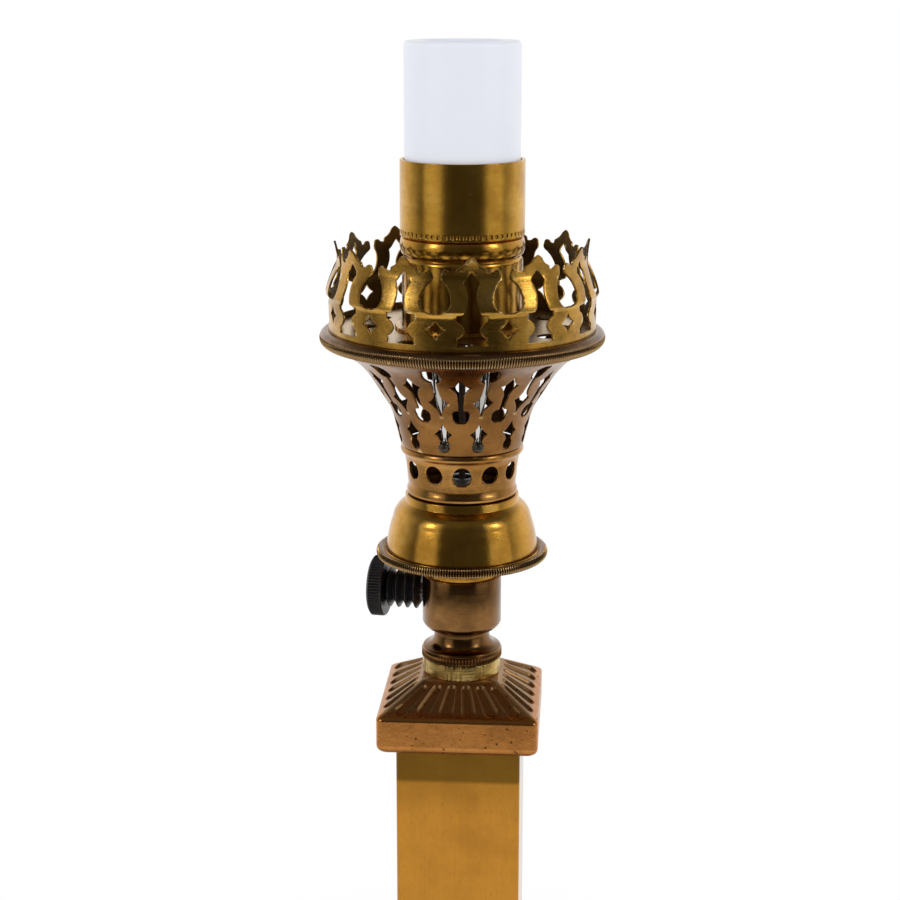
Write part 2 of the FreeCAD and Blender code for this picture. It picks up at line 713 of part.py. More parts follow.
def small_screw(place, length):
    """Cheese-head screw that stands on the foot of its shank."""
    shank = Part.makeCylinder(SMALL_SCREW_RADIUS, length, place)
    head = Part.makeCylinder(SMALL_SCREW_HEAD_RADIUS, SMALL_SCREW_HEAD, place + AXIS * length)
    return shank.fuse(head)


def switch_screw_set():
    """Two terminal screws on the block's top, in the switch's own place."""
    top = BLOCK_HEIGHT / 2 + STRIP_THICK
    screws = []
    for side in (-1, 1):
        place = FreeCAD.Vector(STRIP_TAB - 1, side * STRIP_SPACING / 2, top - SWITCH_SCREW_LENGTH)
        screws.append(small_screw(place, SWITCH_SCREW_LENGTH))
    return screws


def switch_screws():
    return Part.makeCompound([along_knob(screw) for screw in switch_screw_set()])


def switch_contacts():
    strips = []
    for side, upright in zip((-1, 1), strip_slots(0)):
        tab = Part.makeBox(STRIP_TAB + SMALL_SCREW_HEAD_RADIUS, STRIP_WIDTH, STRIP_THICK,
                           FreeCAD.Vector(-STRIP_WIDTH / 2, side * STRIP_SPACING / 2 - STRIP_WIDTH / 2, BLOCK_HEIGHT / 2))
        strips.append(along_knob(upright.fuse(tab).cut(switch_screw_set())))
    return Part.makeCompound(strips)


# ---- bowl ----

def bowl_outline(inset, foot):
    """Corners of the bowl's outside, moved in by the inset, from its foot up."""
    shoulder_z = bowl_z + BOWL_SHOULDER_HEIGHT
    collar_foot_z = bowl_z + BOWL_COLLAR_HEIGHT
    return [(0, foot), (BOWL_FOOT_RADIUS - inset, foot),
            (BOWL_SHOULDER_RADIUS - inset, shoulder_z, BOWL_SWELL),
            (BOWL_COLLAR_RADIUS - inset, collar_foot_z - inset / 2, BOWL_SWELL),
            (BOWL_COLLAR_RADIUS - inset, air_collar_z - inset), (0, air_collar_z - inset)]


def bowl():
    hollow = lathe(bowl_outline(BOWL_WALL, bowl_z - 1))
    shell = lathe(bowl_outline(0, bowl_z)).cut(hollow)
    return shell.cut(disc(bore_on_tube + SEAT_GAP, bowl_z, air_collar_z + 1))


def bowl_floor():
    radius = BOWL_FOOT_RADIUS - BOWL_WALL - LOOSE_GAP
    return tube(bore_on_tube + SEAT_GAP, radius, bowl_z, bowl_z + BOWL_FLOOR_THICK)


def bowl_ring():
    return torus(bowl_ring_radius, BOWL_RING_SECTION, bowl_z + BOWL_RING_SECTION - 0.2)


# ---- air collar and basket ----

def upper_tube():
    return tube(TUBE_BORE_RADIUS, TUBE_RADIUS, collar_z + TUBE_OVERHANG,
                air_collar_z + AIR_COLLAR_FLOOR + NUT_THICK + TUBE_OVERHANG)


def air_collar_nut():
    return hex_nut(NUT_ACROSS_FLATS, bore_on_tube, air_collar_z + AIR_COLLAR_FLOOR, NUT_THICK)


def air_collar():
    foot = AIR_COLLAR_FOOT_RADIUS
    top = AIR_COLLAR_TOP_RADIUS
    bead_z = basket_z - TOP_BEAD_HEIGHT
    wall = AIR_COLLAR_WALL
    cup = lathe([(bore_on_tube + SEAT_GAP, air_collar_z), (foot, air_collar_z),
                 (foot, air_collar_z + FOOT_BEAD_HEIGHT, FOOT_BEAD_SWELL),
                 (foot + 0.3, air_collar_z + FOOT_BEAD_HEIGHT + 3), (top - 0.4, bead_z - 1.5),
                 (top, bead_z), (top, basket_z, TOP_BEAD_SWELL), (top - wall, basket_z),
                 (top - wall, bead_z - 1.5), (foot - wall, air_collar_z + FOOT_BEAD_HEIGHT),
                 (foot - wall, air_collar_z + AIR_COLLAR_FLOOR),
                 (bore_on_tube + SEAT_GAP, air_collar_z + AIR_COLLAR_FLOOR)])
    hole = Part.makeCylinder(AIR_HOLE_RADIUS, top, FreeCAD.Vector(0, -foot + 4, air_collar_z + AIR_HOLE_HEIGHT),
                             FreeCAD.Vector(0, -1, 0))
    return cup.cut(all_round(hole, AIR_HOLE_TURN, REPEATS))


def basket_end():
    """The basket's upper edge, just clear of the ring that it carries."""
    reach = RING_SECTION + 0.25
    angle = math.radians(234)
    return (RING_RADIUS + reach * math.cos(angle), RING_HEIGHT + reach * math.sin(angle))


def basket_line(inset):
    """The basket's outside as a smooth curve, moved in by the inset."""
    places = BASKET_PROFILE + [basket_end()]
    curve = Part.BSplineCurve()
    curve.interpolate([FreeCAD.Vector(r, 0, basket_z + h) for r, h in places])
    if inset == 0:
        return curve
    inner = []
    for r, h in places:
        parameter = curve.parameter(FreeCAD.Vector(r, 0, basket_z + h))
        along = curve.tangent(parameter)[0]
        inner.append(FreeCAD.Vector(r - along.z * inset, 0, basket_z + h + along.x * inset))
    moved = Part.BSplineCurve()
    moved.interpolate(inner)
    return moved


def basket_radius(height, inset):
    """Radius of the basket's wall at a height above its foot."""
    line = basket_line(inset).toShape()
    level = Part.LineSegment(FreeCAD.Vector(0, 0, basket_z + height),
                             FreeCAD.Vector(2 * RING_RADIUS, 0, basket_z + height)).toShape()
    return line.distToShape(level)[1][0][0].x


def upward_keyhole():
    """Spade over a stem and a round hole; heights above the basket's foot."""
    return mirrored([(0, 12.3), (2.85, 14.6, 1.0), (0.95, 17.2, 1.0), (1.15, 21.4, -0.1),
                     (3.8, 26.4, -0.9), (1.2, 28.0, -0.45), (0, 29.8)])


def downward_keyhole():
    """Round hole over a neck and a long kite."""
    return mirrored([(0, 14.6), (1.2, 17.6, -0.15), (3.6, 20.4), (1.0, 24.0, -0.7), (0.75, 28.4, -0.1),
                     (2.9, 31.4, 1.0), (0, 33.4, 1.0)])


def lower_keyhole():
    """Concave diamond over a small round hole."""
    hole = SMALL_HOLE_RADIUS
    middle = SMALL_HOLE_HEIGHT
    corner = hole * (1 - math.sqrt(0.5))
    return mirrored([(0, middle - hole), (hole, middle, corner), (hole * 0.6, middle + hole * 0.8, hole * 0.1),
                     (3.1, 8.1, -0.4), (0, 12.2, -0.5)])


def fret(draw, foot, near, far):
    """Radial cutter from one drawn opening, at its real height."""
    corners = [(c[0], c[1] + foot) + tuple(c[2:]) for c in draw()]
    return radial_prism(corners, near, far)


def basket():
    inner = basket_line(BASKET_WALL)
    outer = basket_line(0)
    sleeve_radius = AIR_COLLAR_TOP_RADIUS - AIR_COLLAR_WALL - SEAT_GAP
    low = basket_z - BASKET_SLEEVE
    places = [outer.StartPoint, FreeCAD.Vector(sleeve_radius, 0, basket_z), FreeCAD.Vector(sleeve_radius, 0, low),
              FreeCAD.Vector(sleeve_radius - BASKET_WALL, 0, low),
              FreeCAD.Vector(sleeve_radius - BASKET_WALL, 0, basket_z + BASKET_WALL), inner.StartPoint]
    edges = [outer.toShape(), inner.toShape(), Part.LineSegment(inner.EndPoint, outer.EndPoint).toShape()]
    edges += [Part.LineSegment(a, b).toShape() for a, b in zip(places, places[1:])]
    wire = Part.Wire(Part.__sortEdges__(edges))
    shell = Part.Face(wire).revolve(CENTRE, AXIS, 360)
    near = 12.0
    far = 2 * RING_RADIUS
    half_step = step_angle / 2
    cutters = all_round(fret(upward_keyhole, basket_z, near, far), BASKET_TURN, REPEATS)
    cutters += all_round(fret(downward_keyhole, basket_z, near, far), BASKET_TURN + half_step, REPEATS)
    cutters += all_round(fret(lower_keyhole, basket_z, near, far), BASKET_TURN + half_step, REPEATS)
    return shell.cut(cutters)


# ---- gallery: ring, plate, legs, crown ----

def gallery_ring():
    return torus(RING_RADIUS, RING_SECTION, ring_z)


def gallery_plate():
    plate = tube(SOCKET_RADIUS - SOCKET_WALL - 3, plate_radius, plate_z, plate_z + PLATE_THICK)
    hole = Part.makeCylinder(PLATE_HOLE_RADIUS, 3, FreeCAD.Vector(0, -PLATE_HOLE_CIRCLE, plate_z - 1))
    return plate.cut(all_round(hole, BASKET_TURN, REPEATS))


def leg_radius(height):
    """Radius at which a leg's centre line just clears the basket's inside."""
    inner = basket_line(BASKET_WALL)
    radius = basket_radius(height, BASKET_WALL)
    along = inner.tangent(inner.parameter(FreeCAD.Vector(radius, 0, basket_z + height)))[0]
    return radius - (LEG_RADIUS + LEG_WALL_ROOM) / along.z


def carrier_legs():
    """Four bent rods from the small holes of the basket up to the plate."""
    hole_z = basket_z + SMALL_HOLE_HEIGHT
    head_out = basket_radius(SMALL_HOLE_HEIGHT, 0) + SEAT_GAP
    top_radius = leg_radius(LEG_ELBOW_HEIGHT)
    places = [(head_out, hole_z), (leg_radius(SMALL_HOLE_HEIGHT), hole_z),
              (leg_radius(LEG_KNEE_HEIGHT), basket_z + LEG_KNEE_HEIGHT),
              (top_radius, basket_z + LEG_ELBOW_HEIGHT), (top_radius, plate_z)]
    path = rounded_path([FreeCAD.Vector(0, -r, z) for r, z in places], [LEG_FOOT_BEND, LEG_BEND, LEG_BEND])
    start = Part.Wire(Part.makeCircle(LEG_RADIUS, path.Vertexes[0].Point, FreeCAD.Vector(0, 1, 0)))
    rod = path.makePipeShell([start], True, True)
    head = Part.makeCylinder(LEG_HEAD_RADIUS, LEG_HEAD_THICK, FreeCAD.Vector(0, -head_out - LEG_HEAD_THICK / 2, hole_z),
                             FreeCAD.Vector(0, 1, 0))
    leg = rod.fuse(head)
    half_step = step_angle / 2
    turns = [BASKET_TURN - half_step, BASKET_TURN + half_step]
    return Part.makeCompound([turned(leg, side + turn) for side in (0, 180) for turn in turns])


def rounded_path(places, radii):
    """Straight runs through the places, with a tangent arc at each inner one."""
    edges = []
    here = places[0]
    for index in range(1, len(places) - 1):
        corner = places[index]
        before = (places[index - 1] - corner).normalize()
        after = (places[index + 1] - corner).normalize()
        half_angle = before.getAngle(after) / 2
        back = radii[index - 1] / math.tan(half_angle)
        first = corner + before * back
        last = corner + after * back
        bisector = (before + after).normalize()
        middle = corner + bisector * (radii[index - 1] / math.sin(half_angle) - radii[index - 1])
        edges.append(Part.LineSegment(here, first).toShape())
        edges.append(Part.Arc(first, middle, last).toShape())
        here = last
    edges.append(Part.LineSegment(here, places[-1]).toShape())
    return Part.Wire(edges)


def crown_line(inset, foot):
    """The crown's outside from foot to tips, moved in by the inset."""
    return [(CROWN_RADIUS - inset, foot), (CROWN_RADIUS - inset, crown_z + CROWN_CREASE),
            (CROWN_BULGE_RADIUS - inset, crown_z + CROWN_BULGE, 0.25),
            (CROWN_WAIST_RADIUS - inset, crown_z + CROWN_WAIST, 0.3),
            (CROWN_TIP_RADIUS - inset, crown_z + CROWN_HEIGHT + 1, -0.3)]


def arch_opening():
    """Opening under one arch of the crown; heights above the crown's foot."""
    return mirrored([(0, CROWN_BAND), (5.4, CROWN_BAND), (5.2, 4.4, -0.5), (2.5, 7.3, -0.5), (5.2, 10.2, -0.5),
                     (5.3, 11.8), (3.0, 12.8), (1.55, 18.2, -0.3), (2.8, 22.7, -0.3), (0, 26.2)])


def crown_diamond():
    """Small diamond with hollow sides."""
    middle = 7.3
    return mirrored([(0, middle - 3.2), (3.5, middle, -0.45), (0, middle + 3.2, -0.45)])


def crown_notch():
    """Round opening between two horns and all that lies above the arches."""
    half_step = step_angle / 2
    span = CROWN_RADIUS * math.sin(math.radians(half_step)) + 0.4
    above = CROWN_HEIGHT + 6
    return mirrored([(0, 12.5), (5.0, 17.6, 1.9), (2.1, 23.0, 0.6), (1.5, 25.2, -0.5), (3.9, 26.2, -1.0),
                     (6.3, 25.8, 0.3), (7.2, 27.3, -0.3), (9.8, 29.4, 0.3), (span, CROWN_HEIGHT, -0.3),
                     (span, above), (0, above)])


def shade_crown():
    outer = crown_line(0, crown_z)
    inner = crown_line(CROWN_WALL, crown_z)
    inner_down = [(inner[-1][0], inner[-1][1])]
    for index in range(len(inner) - 1, 0, -1):
        end = inner[index - 1][:2]
        bulge = inner[index][2:]
        inner_down.append(end + tuple(-b for b in bulge))
    shell = lathe(outer + inner_down)
    near = CROWN_WAIST_RADIUS * 0.6
    far = CROWN_BULGE_RADIUS + 8
    half_step = step_angle / 2
    cutters = all_round(fret(arch_opening, crown_z, near, far), CROWN_TURN, REPEATS)
    cutters += all_round(fret(crown_diamond, crown_z, near, far), CROWN_TURN + half_step, REPEATS)
    cutters += all_round(fret(crown_notch, crown_z, near, far), CROWN_TURN + half_step, REPEATS)
    return shell.cut(cutters)


# ---- socket ----

def socket_outline(inset, foot, top):
    shoulder_z = socket_z + SOCKET_SHOULDER_HEIGHT
    groove_z = socket_z + SOCKET_GROOVE_HEIGHT
    return [(0, foot), (SOCKET_RADIUS - inset, foot), (SOCKET_RADIUS - inset, shoulder_z),
            (SOCKET_GROOVE_RADIUS - inset, groove_z, 0.3),
            (SOCKET_BEAD_RADIUS - inset - 0.5, groove_z + 1.2),
            (SOCKET_BEAD_RADIUS - inset - 0.5, cup_z - 0.8, 0.5),
            (SOCKET_GROOVE_RADIUS - inset, top), (0, top)]


def socket_body():
    body = lathe(socket_outline(0, socket_z, cup_z))
    flange = disc(SOCKET_FLANGE_RADIUS, socket_z, socket_z + SOCKET_WALL)
    roof = cup_z - SOCKET_WALL
    hollow = lathe(socket_outline(SOCKET_WALL, socket_z - 1, roof))
    return body.fuse(flange).cut(hollow).cut(disc(bore_on_tube, socket_z, cup_z + 1))


def socket_cup():
    inner = CUP_RADIUS - CUP_WALL
    cup = lathe([(bore_on_tube, cup_z), (CUP_RADIUS, cup_z), (CUP_RADIUS, cup_rim_z - 0.3),
                 (CUP_RADIUS - 0.3, cup_rim_z), (inner + 0.2, cup_rim_z), (inner, cup_rim_z - 0.2),
                 (inner, cup_z + CUP_FLOOR), (bore_on_tube, cup_z + CUP_FLOOR)])
    dent = Part.makeSphere(DENTIL_RADIUS, FreeCAD.Vector(0, -CUP_RADIUS - 0.1, cup_z + DENTIL_HEIGHT))
    return cup.cut(all_round(dent, 0, DENTILS))


def holder_tube():
    low = cup_z - SOCKET_WALL - NUT_THICK - TUBE_OVERHANG
    return tube(TUBE_BORE_RADIUS, TUBE_RADIUS, low, low + HOLDER_TUBE_LENGTH)


def holder_nut():
    return hex_nut(NUT_ACROSS_FLATS, bore_on_tube, cup_z - SOCKET_WALL - NUT_THICK, NUT_THICK)


# ---- lampholder ----

def holder_cap():
    radius = CUP_RADIUS - CUP_WALL - LOOSE_GAP - 0.4
    inner = radius - HOLDER_WALL
    low = holder_z
    slope = HOLDER_CAP_SLOPE
    return lathe([(bore_on_tube, low), (radius - slope, low), (radius, low + slope, 0.8), (radius, holder_split_z),
                  (inner, holder_split_z), (inner, low + slope + 1), (inner - slope, low + HOLDER_WALL + 1),
                  (bore_on_tube + 4, low + HOLDER_WALL + 1), (bore_on_tube + 4, low + slope + 3),
                  (bore_on_tube, low + slope + 3)])


def holder_skirt():
    radius = HOLDER_RADIUS
    edge = HOLDER_EDGE_RADIUS
    sleeve = HOLDER_THREAD_RADIUS + HOLDER_SLEEVE_WALL
    under_top = holder_top_z - HOLDER_TOP
    quarter = edge * (math.sqrt(2) - 1) / math.sqrt(2) * 0.7
    return lathe([(HOLDER_THREAD_RADIUS, sleeve_z), (sleeve, sleeve_z), (sleeve, under_top),
                  (radius - HOLDER_WALL, under_top), (radius - HOLDER_WALL, holder_split_z),
                  (radius, holder_split_z), (radius, holder_top_z - edge),
                  (radius - edge, holder_top_z, quarter), (HOLDER_THREAD_RADIUS + 0.8, holder_top_z),
                  (HOLDER_THREAD_RADIUS, holder_top_z - 0.8)])


def core_top():
    return sleeve_z - CORE_BELOW_SLEEVE


def lead_places():
    return [(0, -LEAD_SPACING / 2), (0, LEAD_SPACING / 2)]


def terminal_place():
    return HOLDER_RADIUS - HOLDER_WALL - SMALL_SCREW_HEAD_RADIUS - 1.0


def terminal_screw_set():
    top = holder_split_z + CORE_FLANGE
    screws = []
    for side in (-1, 1):
        place = FreeCAD.Vector(side * terminal_place(), 0, top - TERMINAL_SCREW_LENGTH + SEAT_GAP)
        screws.append(small_screw(place, TERMINAL_SCREW_LENGTH - SEAT_GAP))
    return screws


def terminal_screws():
    return Part.makeCompound(terminal_screw_set())


def holder_core():
    flange = HOLDER_RADIUS - HOLDER_WALL - SEAT_GAP
    core = lathe([(0, holder_split_z), (flange, holder_split_z), (flange, holder_split_z + CORE_FLANGE),
                  (CORE_RADIUS, holder_split_z + CORE_FLANGE), (CORE_RADIUS, core_top()), (0, core_top())])
    leads = [Part.makeCylinder(LEAD_RADIUS + SEAT_GAP, CORE_FLANGE, FreeCAD.Vector(x, y, holder_split_z - 1))
             for x, y in lead_places()]
    return core.cut(leads + terminal_screw_set())


def centre_contact():
    """Flat strip on the core, bent up and back to the lamp cap's tip."""
    low = core_top()
    half = CONTACT_SPAN / 2
    corners = [(-half, low), (half, low), (half, low + CONTACT_THICK), (-half + 3, low + CONTACT_THICK),
               (half - 2, low + CONTACT_RISE), (half - 2, low + CONTACT_RISE + CONTACT_THICK),
               (half - 4, low + CONTACT_RISE + CONTACT_THICK), (-half, low + CONTACT_THICK)]
    wire = outline(corners, lambda p: FreeCAD.Vector(p[0], -CONTACT_WIDTH / 2, p[1]))
    return Part.Face(wire).extrude(FreeCAD.Vector(0, CONTACT_WIDTH, 0))


def side_contact():
    """Upright tongue beside the core that touches the lamp cap's thread."""
    low = holder_split_z + CORE_FLANGE
    near = CORE_RADIUS + SEAT_GAP
    return Part.makeBox(CONTACT_WIDTH, CONTACT_THICK, core_top() + SIDE_CONTACT_RISE - low,
                        FreeCAD.Vector(-CONTACT_WIDTH / 2, near, low))


def lead_wires():
    low = knob_z + BLOCK_HEIGHT / 2 + STRIP_THICK + SEAT_GAP
    high = holder_split_z + CORE_FLANGE - 1.5
    return Part.makeCompound([Part.makeCylinder(LEAD_RADIUS, high - low, FreeCAD.Vector(x, y, low))
                              for x, y in lead_places()])


PIECES = [felt_pad, base_cover, cover_screws, base_plinth, base_weight, cord_gland, gland_nut,
          stem_washer, stem_nut, stem_tube, foot_block, column_tube, column_cap,
          lock_ring, neck_flange, switch_body, body_nut, body_collar,
          switch_block, switch_cover, switch_rotor, switch_contacts, switch_screws, switch_shaft, switch_knob,
          bowl_floor, bowl, bowl_ring, upper_tube, air_collar_nut, air_collar,
          basket, gallery_ring, gallery_plate, carrier_legs, shade_crown,
          socket_body, socket_cup, holder_tube, holder_nut,
          holder_cap, holder_skirt, holder_core, centre_contact, side_contact, terminal_screws, lead_wires]

os.makedirs("parts", exist_ok=True)
for make in PIECES:
    make().exportStep("parts/" + make.__name__ + ".step")
print("total height", round(holder_top_z, 2), "mm, knob axis at", round(knob_z, 2))
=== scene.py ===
import math

import bmesh
import bpy
import numpy as np
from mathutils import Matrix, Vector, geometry


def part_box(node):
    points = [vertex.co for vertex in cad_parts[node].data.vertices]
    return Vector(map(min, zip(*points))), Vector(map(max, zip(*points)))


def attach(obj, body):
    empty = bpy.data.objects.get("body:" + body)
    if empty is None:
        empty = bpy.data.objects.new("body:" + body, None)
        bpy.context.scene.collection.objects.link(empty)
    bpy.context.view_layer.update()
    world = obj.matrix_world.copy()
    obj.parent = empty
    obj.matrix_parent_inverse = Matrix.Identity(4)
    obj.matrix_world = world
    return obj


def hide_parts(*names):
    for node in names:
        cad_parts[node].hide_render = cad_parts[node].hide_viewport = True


# Looks of the column table lamp: its dense meshes, finishes, floor, lights and camera.
# Sizes are in millimetres and become metres in make(). Angles are from the front towards
# the right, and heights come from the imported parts.

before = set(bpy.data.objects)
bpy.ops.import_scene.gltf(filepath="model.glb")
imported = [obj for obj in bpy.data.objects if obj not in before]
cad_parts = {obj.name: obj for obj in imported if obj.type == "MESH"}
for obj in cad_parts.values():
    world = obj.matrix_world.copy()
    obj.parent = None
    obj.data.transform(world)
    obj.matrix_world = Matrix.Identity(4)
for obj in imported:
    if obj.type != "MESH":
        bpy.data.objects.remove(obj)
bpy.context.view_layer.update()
MM = 0.001
REPEATS = 12               # of the fretwork, round the lamp
STEP = 360.0 / REPEATS
HALF = STEP / 2
BORE = 5.1                 # radius of the holes round the threaded tubes
BOWL_BORE = 5.2
NO_HOLE = 0.02             # radius at which a turned skin closes on its axis
KNOB_HEIGHT = 13.6         # knob's axis above the switch body's foot


def low(node):
    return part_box(node)[0].z / MM


def high(node):
    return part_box(node)[1].z / MM


plinth_z = low("base_plinth")
plinth_top_z = high("base_plinth")
column_z = low("column_tube")
cap_z = high("column_tube")
cap_top_z = high("column_cap")
neck_z = low("neck_flange")
switch_z = low("switch_body")
collar_z = high("switch_body")
bowl_z = low("bowl")
air_collar_z = low("air_collar")
basket_z = high("air_collar")
ring_z = (low("gallery_ring") + high("gallery_ring")) / 2
crown_z = low("shade_crown")
socket_z = low("socket_body")
cup_z = low("socket_cup")
cup_rim_z = high("socket_cup")
skirt_top_z = high("holder_skirt")
knob_z = switch_z + KNOB_HEIGHT


# ---- camera ----

CAMERA_TURN = 3.7          # degrees round the lamp from its front
CAMERA_AIM = 4.07          # heading: just left of the lamp's axis
CAMERA_FAR = 664.4         # from the lamp's axis
CAMERA_RISE = 270.8        # above the column's top
CAMERA_PITCH = 14.03       # degrees down
CAMERA_LENS = 77.16
CAMERA_SENSOR = 36.0

camera_data = bpy.data.cameras.new("camera")
camera_data.lens = CAMERA_LENS
camera_data.sensor_width = CAMERA_SENSOR
camera_data.sensor_fit = "HORIZONTAL"
camera = bpy.data.objects.new("camera", camera_data)
bpy.context.scene.collection.objects.link(camera)
turn = math.radians(CAMERA_TURN)
camera.location = (CAMERA_FAR * MM * math.sin(turn), -CAMERA_FAR * MM * math.cos(turn),
                   (cap_z + CAMERA_RISE) * MM)
camera.rotation_euler = (math.radians(90 - CAMERA_PITCH), 0, math.radians(CAMERA_AIM))
bpy.context.scene.camera = camera


# ---- lines ----

def arc(start, end, bulge, step):
    """Points after start up to end on an arc that bulges to the right of its way."""
    chord = end - start
    length = np.linalg.norm(chord)
    along = chord / length
    right = np.array([along[1], -along[0]])
    size = abs(bulge)
    radius = (length ** 2 / 4 + size ** 2) / (2 * size)
    span = 4 * math.atan(2 * size / length)
    count = max(2, math.ceil(radius * span / step))
    turns = np.linspace(-span / 2, span / 2, count + 1)[1:]
    out = (np.cos(turns) * radius - radius + size) * math.copysign(1, bulge)
    return (start + end) / 2 + np.outer(np.sin(turns) * radius, along) + np.outer(out, right)


def path(corners, step=0.5, closed=True, cut=False):
    """Points through corners (a, b), or (a, b, bulge) for an arc that ends there. With
    cut, straight runs are divided as well."""
    here = np.array(corners[-1 if closed else 0][:2], float)
    parts = [] if closed else [here[None, :]]
    for corner in corners if closed else corners[1:]:
        there = np.array(corner[:2], float)
        length = np.linalg.norm(there - here)
        if length > 1e-6:
            if len(corner) == 3:
                parts.append(arc(here, there, corner[2], step))
            else:
                count = math.ceil(length / step) if cut else 1
                share = np.linspace(0, 1, count + 1)[1:, None]
                parts.append(here + (there - here) * share)
        here = there
    return np.vstack(parts)


def softened(points, radius):
    """A closed line with its sharp corners rounded."""
    done = []
    for index, corner in enumerate(points):
        before = points[index - 1] - corner
        after = points[(index + 1) % len(points)] - corner
        room = min(np.linalg.norm(before), np.linalg.norm(after))
        before /= np.linalg.norm(before)
        after /= np.linalg.norm(after)
        bend = math.pi - math.acos(max(-1.0, min(1.0, before @ after)))
        if bend < math.radians(25):
            done.append(corner)
            continue
        back = min(radius * math.tan(min(bend, 2.6) / 2), 0.45 * room)
        for share in (0, 0.25, 0.5, 0.75, 1):
            done.append(corner + before * back * (1 - share) ** 2 + after * back * share ** 2)
    return np.array(done)


def smooth_line(points, step):
    """Curve through points (radius, height), dense and even."""
    points = np.array(points, float)
    padded = np.vstack([2 * points[0] - points[1], points, 2 * points[-1] - points[-2]])
    dense = []
    for a, b, c, d in zip(padded, padded[1:], padded[2:], padded[3:]):
        share = np.linspace(0, 1, max(2, math.ceil(np.linalg.norm(c - b) / step)), endpoint=False)[:, None]
        dense.append(0.5 * (2 * b + (c - a) * share + (2 * a - 5 * b + 4 * c - d) * share ** 2
                            + (3 * b - a - 3 * c + d) * share ** 3))
    return np.vstack(dense + [points[-1:]])


def mirrored(half):
    """Corners of an outline from its right half, which goes up from the axis to the axis."""
    left = []
    for index in range(len(half) - 1, 0, -1):
        below = half[index - 1]
        left.append((-below[0], below[1]) + tuple(half[index][2:]))
    return half + left


def raised(corners, foot):
    return [(corner[0], corner[1] + foot) + tuple(corner[2:]) for corner in corners]


def smooth(value):
    value = np.clip(value, 0, 1)
    return value * value * (3 - 2 * value)


# ---- meshes: each is (points, faces) in millimetres ----

def rings(grid):
    """Closed skin over a grid of points that is closed both ways."""
    rows, columns = grid.shape[:2]
    row = np.arange(rows)[:, None]
    column = np.arange(columns)[None, :]
    next_row = (row + 1) % rows
    next_column = (column + 1) % columns
    faces = np.stack([row * columns + column, next_row * columns + column,
                      next_row * columns + next_column, row * columns + next_column], -1)
    return grid.reshape(-1, 3), faces.reshape(-1, 4)


def lathe(corners, count=192, soft=0.2, step=0.5, cut=False, shift=None):
    """Closed profile of (radius, height) turned round the axis. shift moves the radius
    by angle, radius and height."""
    line = softened(path(corners, step, cut=cut), soft)
    angle = np.linspace(0, 2 * math.pi, count, endpoint=False)[:, None]
    radius = line[:, 0] + 0 * angle
    height = line[:, 1] + 0 * angle
    if shift:
        radius = radius + shift(angle, radius, height)
    return rings(np.stack([radius * np.sin(angle), -radius * np.cos(angle), height], -1))


def knurled_ring(radius, section, height, teeth, depth, first, last):
    """Ring with fine ribs across the part of its section from first to last degree."""
    rows = 44
    angle = np.linspace(0, 2 * math.pi, teeth * 4, endpoint=False)[:, None]
    around = np.linspace(-math.pi, math.pi, rows, endpoint=False)[None, :]
    inside = smooth((np.degrees(around) - first) / 12) * smooth((last - np.degrees(around)) / 12)
    rib = np.cos(angle * teeth) * 0.5 - 0.5
    size = section + depth * rib * inside
    reach = radius + size * np.cos(around)
    rise = height + size * np.sin(around)
    return rings(np.stack([reach * np.sin(angle), -reach * np.cos(angle), rise + 0 * angle], -1))


def square_rings(levels, corner, side=60, sunk=None):
    """Skin through rounded squares (width, height). sunk gives how deep a point of the
    sloping faces lies below them, by its place across, its level and that level's slope."""
    bend = np.radians(np.linspace(0, 90, 9)[1:-1])
    grid = []
    for index, (width, height) in enumerate(levels):
        half = width / 2
        soft = min(corner, half * 0.8)
        flat = half - soft
        across = np.linspace(-flat, flat, side)
        out = np.full(side, -half)
        lift = np.full(side, float(height))
        if sunk:
            depth, outward, upward = sunk(across, index)
            out = out + depth * outward
            lift = lift - depth * upward
        turn_x = flat + soft * np.sin(bend)
        turn_y = -flat - soft * np.cos(bend)
        x = np.concatenate([across, turn_x])
        y = np.concatenate([out, turn_y])
        z = np.concatenate([lift, np.full(len(bend), float(height))])
        ring = []
        for quarter in range(4):
            ring.append(np.stack([x, y, z], -1))
            x, y = -y, x
        grid.append(np.concatenate(ring))
    return rings(np.stack(grid, 1))


FLUTE_DEPTH = 0.9
FLUTE_PITCH_LOW = 7.9
FLUTE_PITCH_HIGH = 5.2
FLUTE_RADIUS_LOW = 2.6
FLUTE_RADIUS_HIGH = 1.8
FLUTE_MARGIN = 1.0
FLUTE_FLANK = 0.95


def flute_field(across, along, slope, count, spread):
    """Depth at points of a slope with sunk, round-ended flutes that fan over it."""
    start = FLUTE_RADIUS_LOW + FLUTE_MARGIN
    end = slope - FLUTE_RADIUS_HIGH - FLUTE_MARGIN
    sunk = np.zeros_like(across)
    for number in range(count):
        place = number - (count - 1) / 2
        a = np.array([place * FLUTE_PITCH_LOW * spread, start])
        b = np.array([place * FLUTE_PITCH_HIGH * spread, end])
        way = b - a
        share = np.clip(((across - a[0]) * way[0] + (along - a[1]) * way[1]) / (way @ way), 0, 1)
        away = np.hypot(across - a[0] - share * way[0], along - a[1] - share * way[1])
        radius = FLUTE_RADIUS_LOW + (FLUTE_RADIUS_HIGH - FLUTE_RADIUS_LOW) * share
        sunk = np.maximum(sunk, smooth((radius - away) / FLUTE_FLANK))
    return sunk * FLUTE_DEPTH


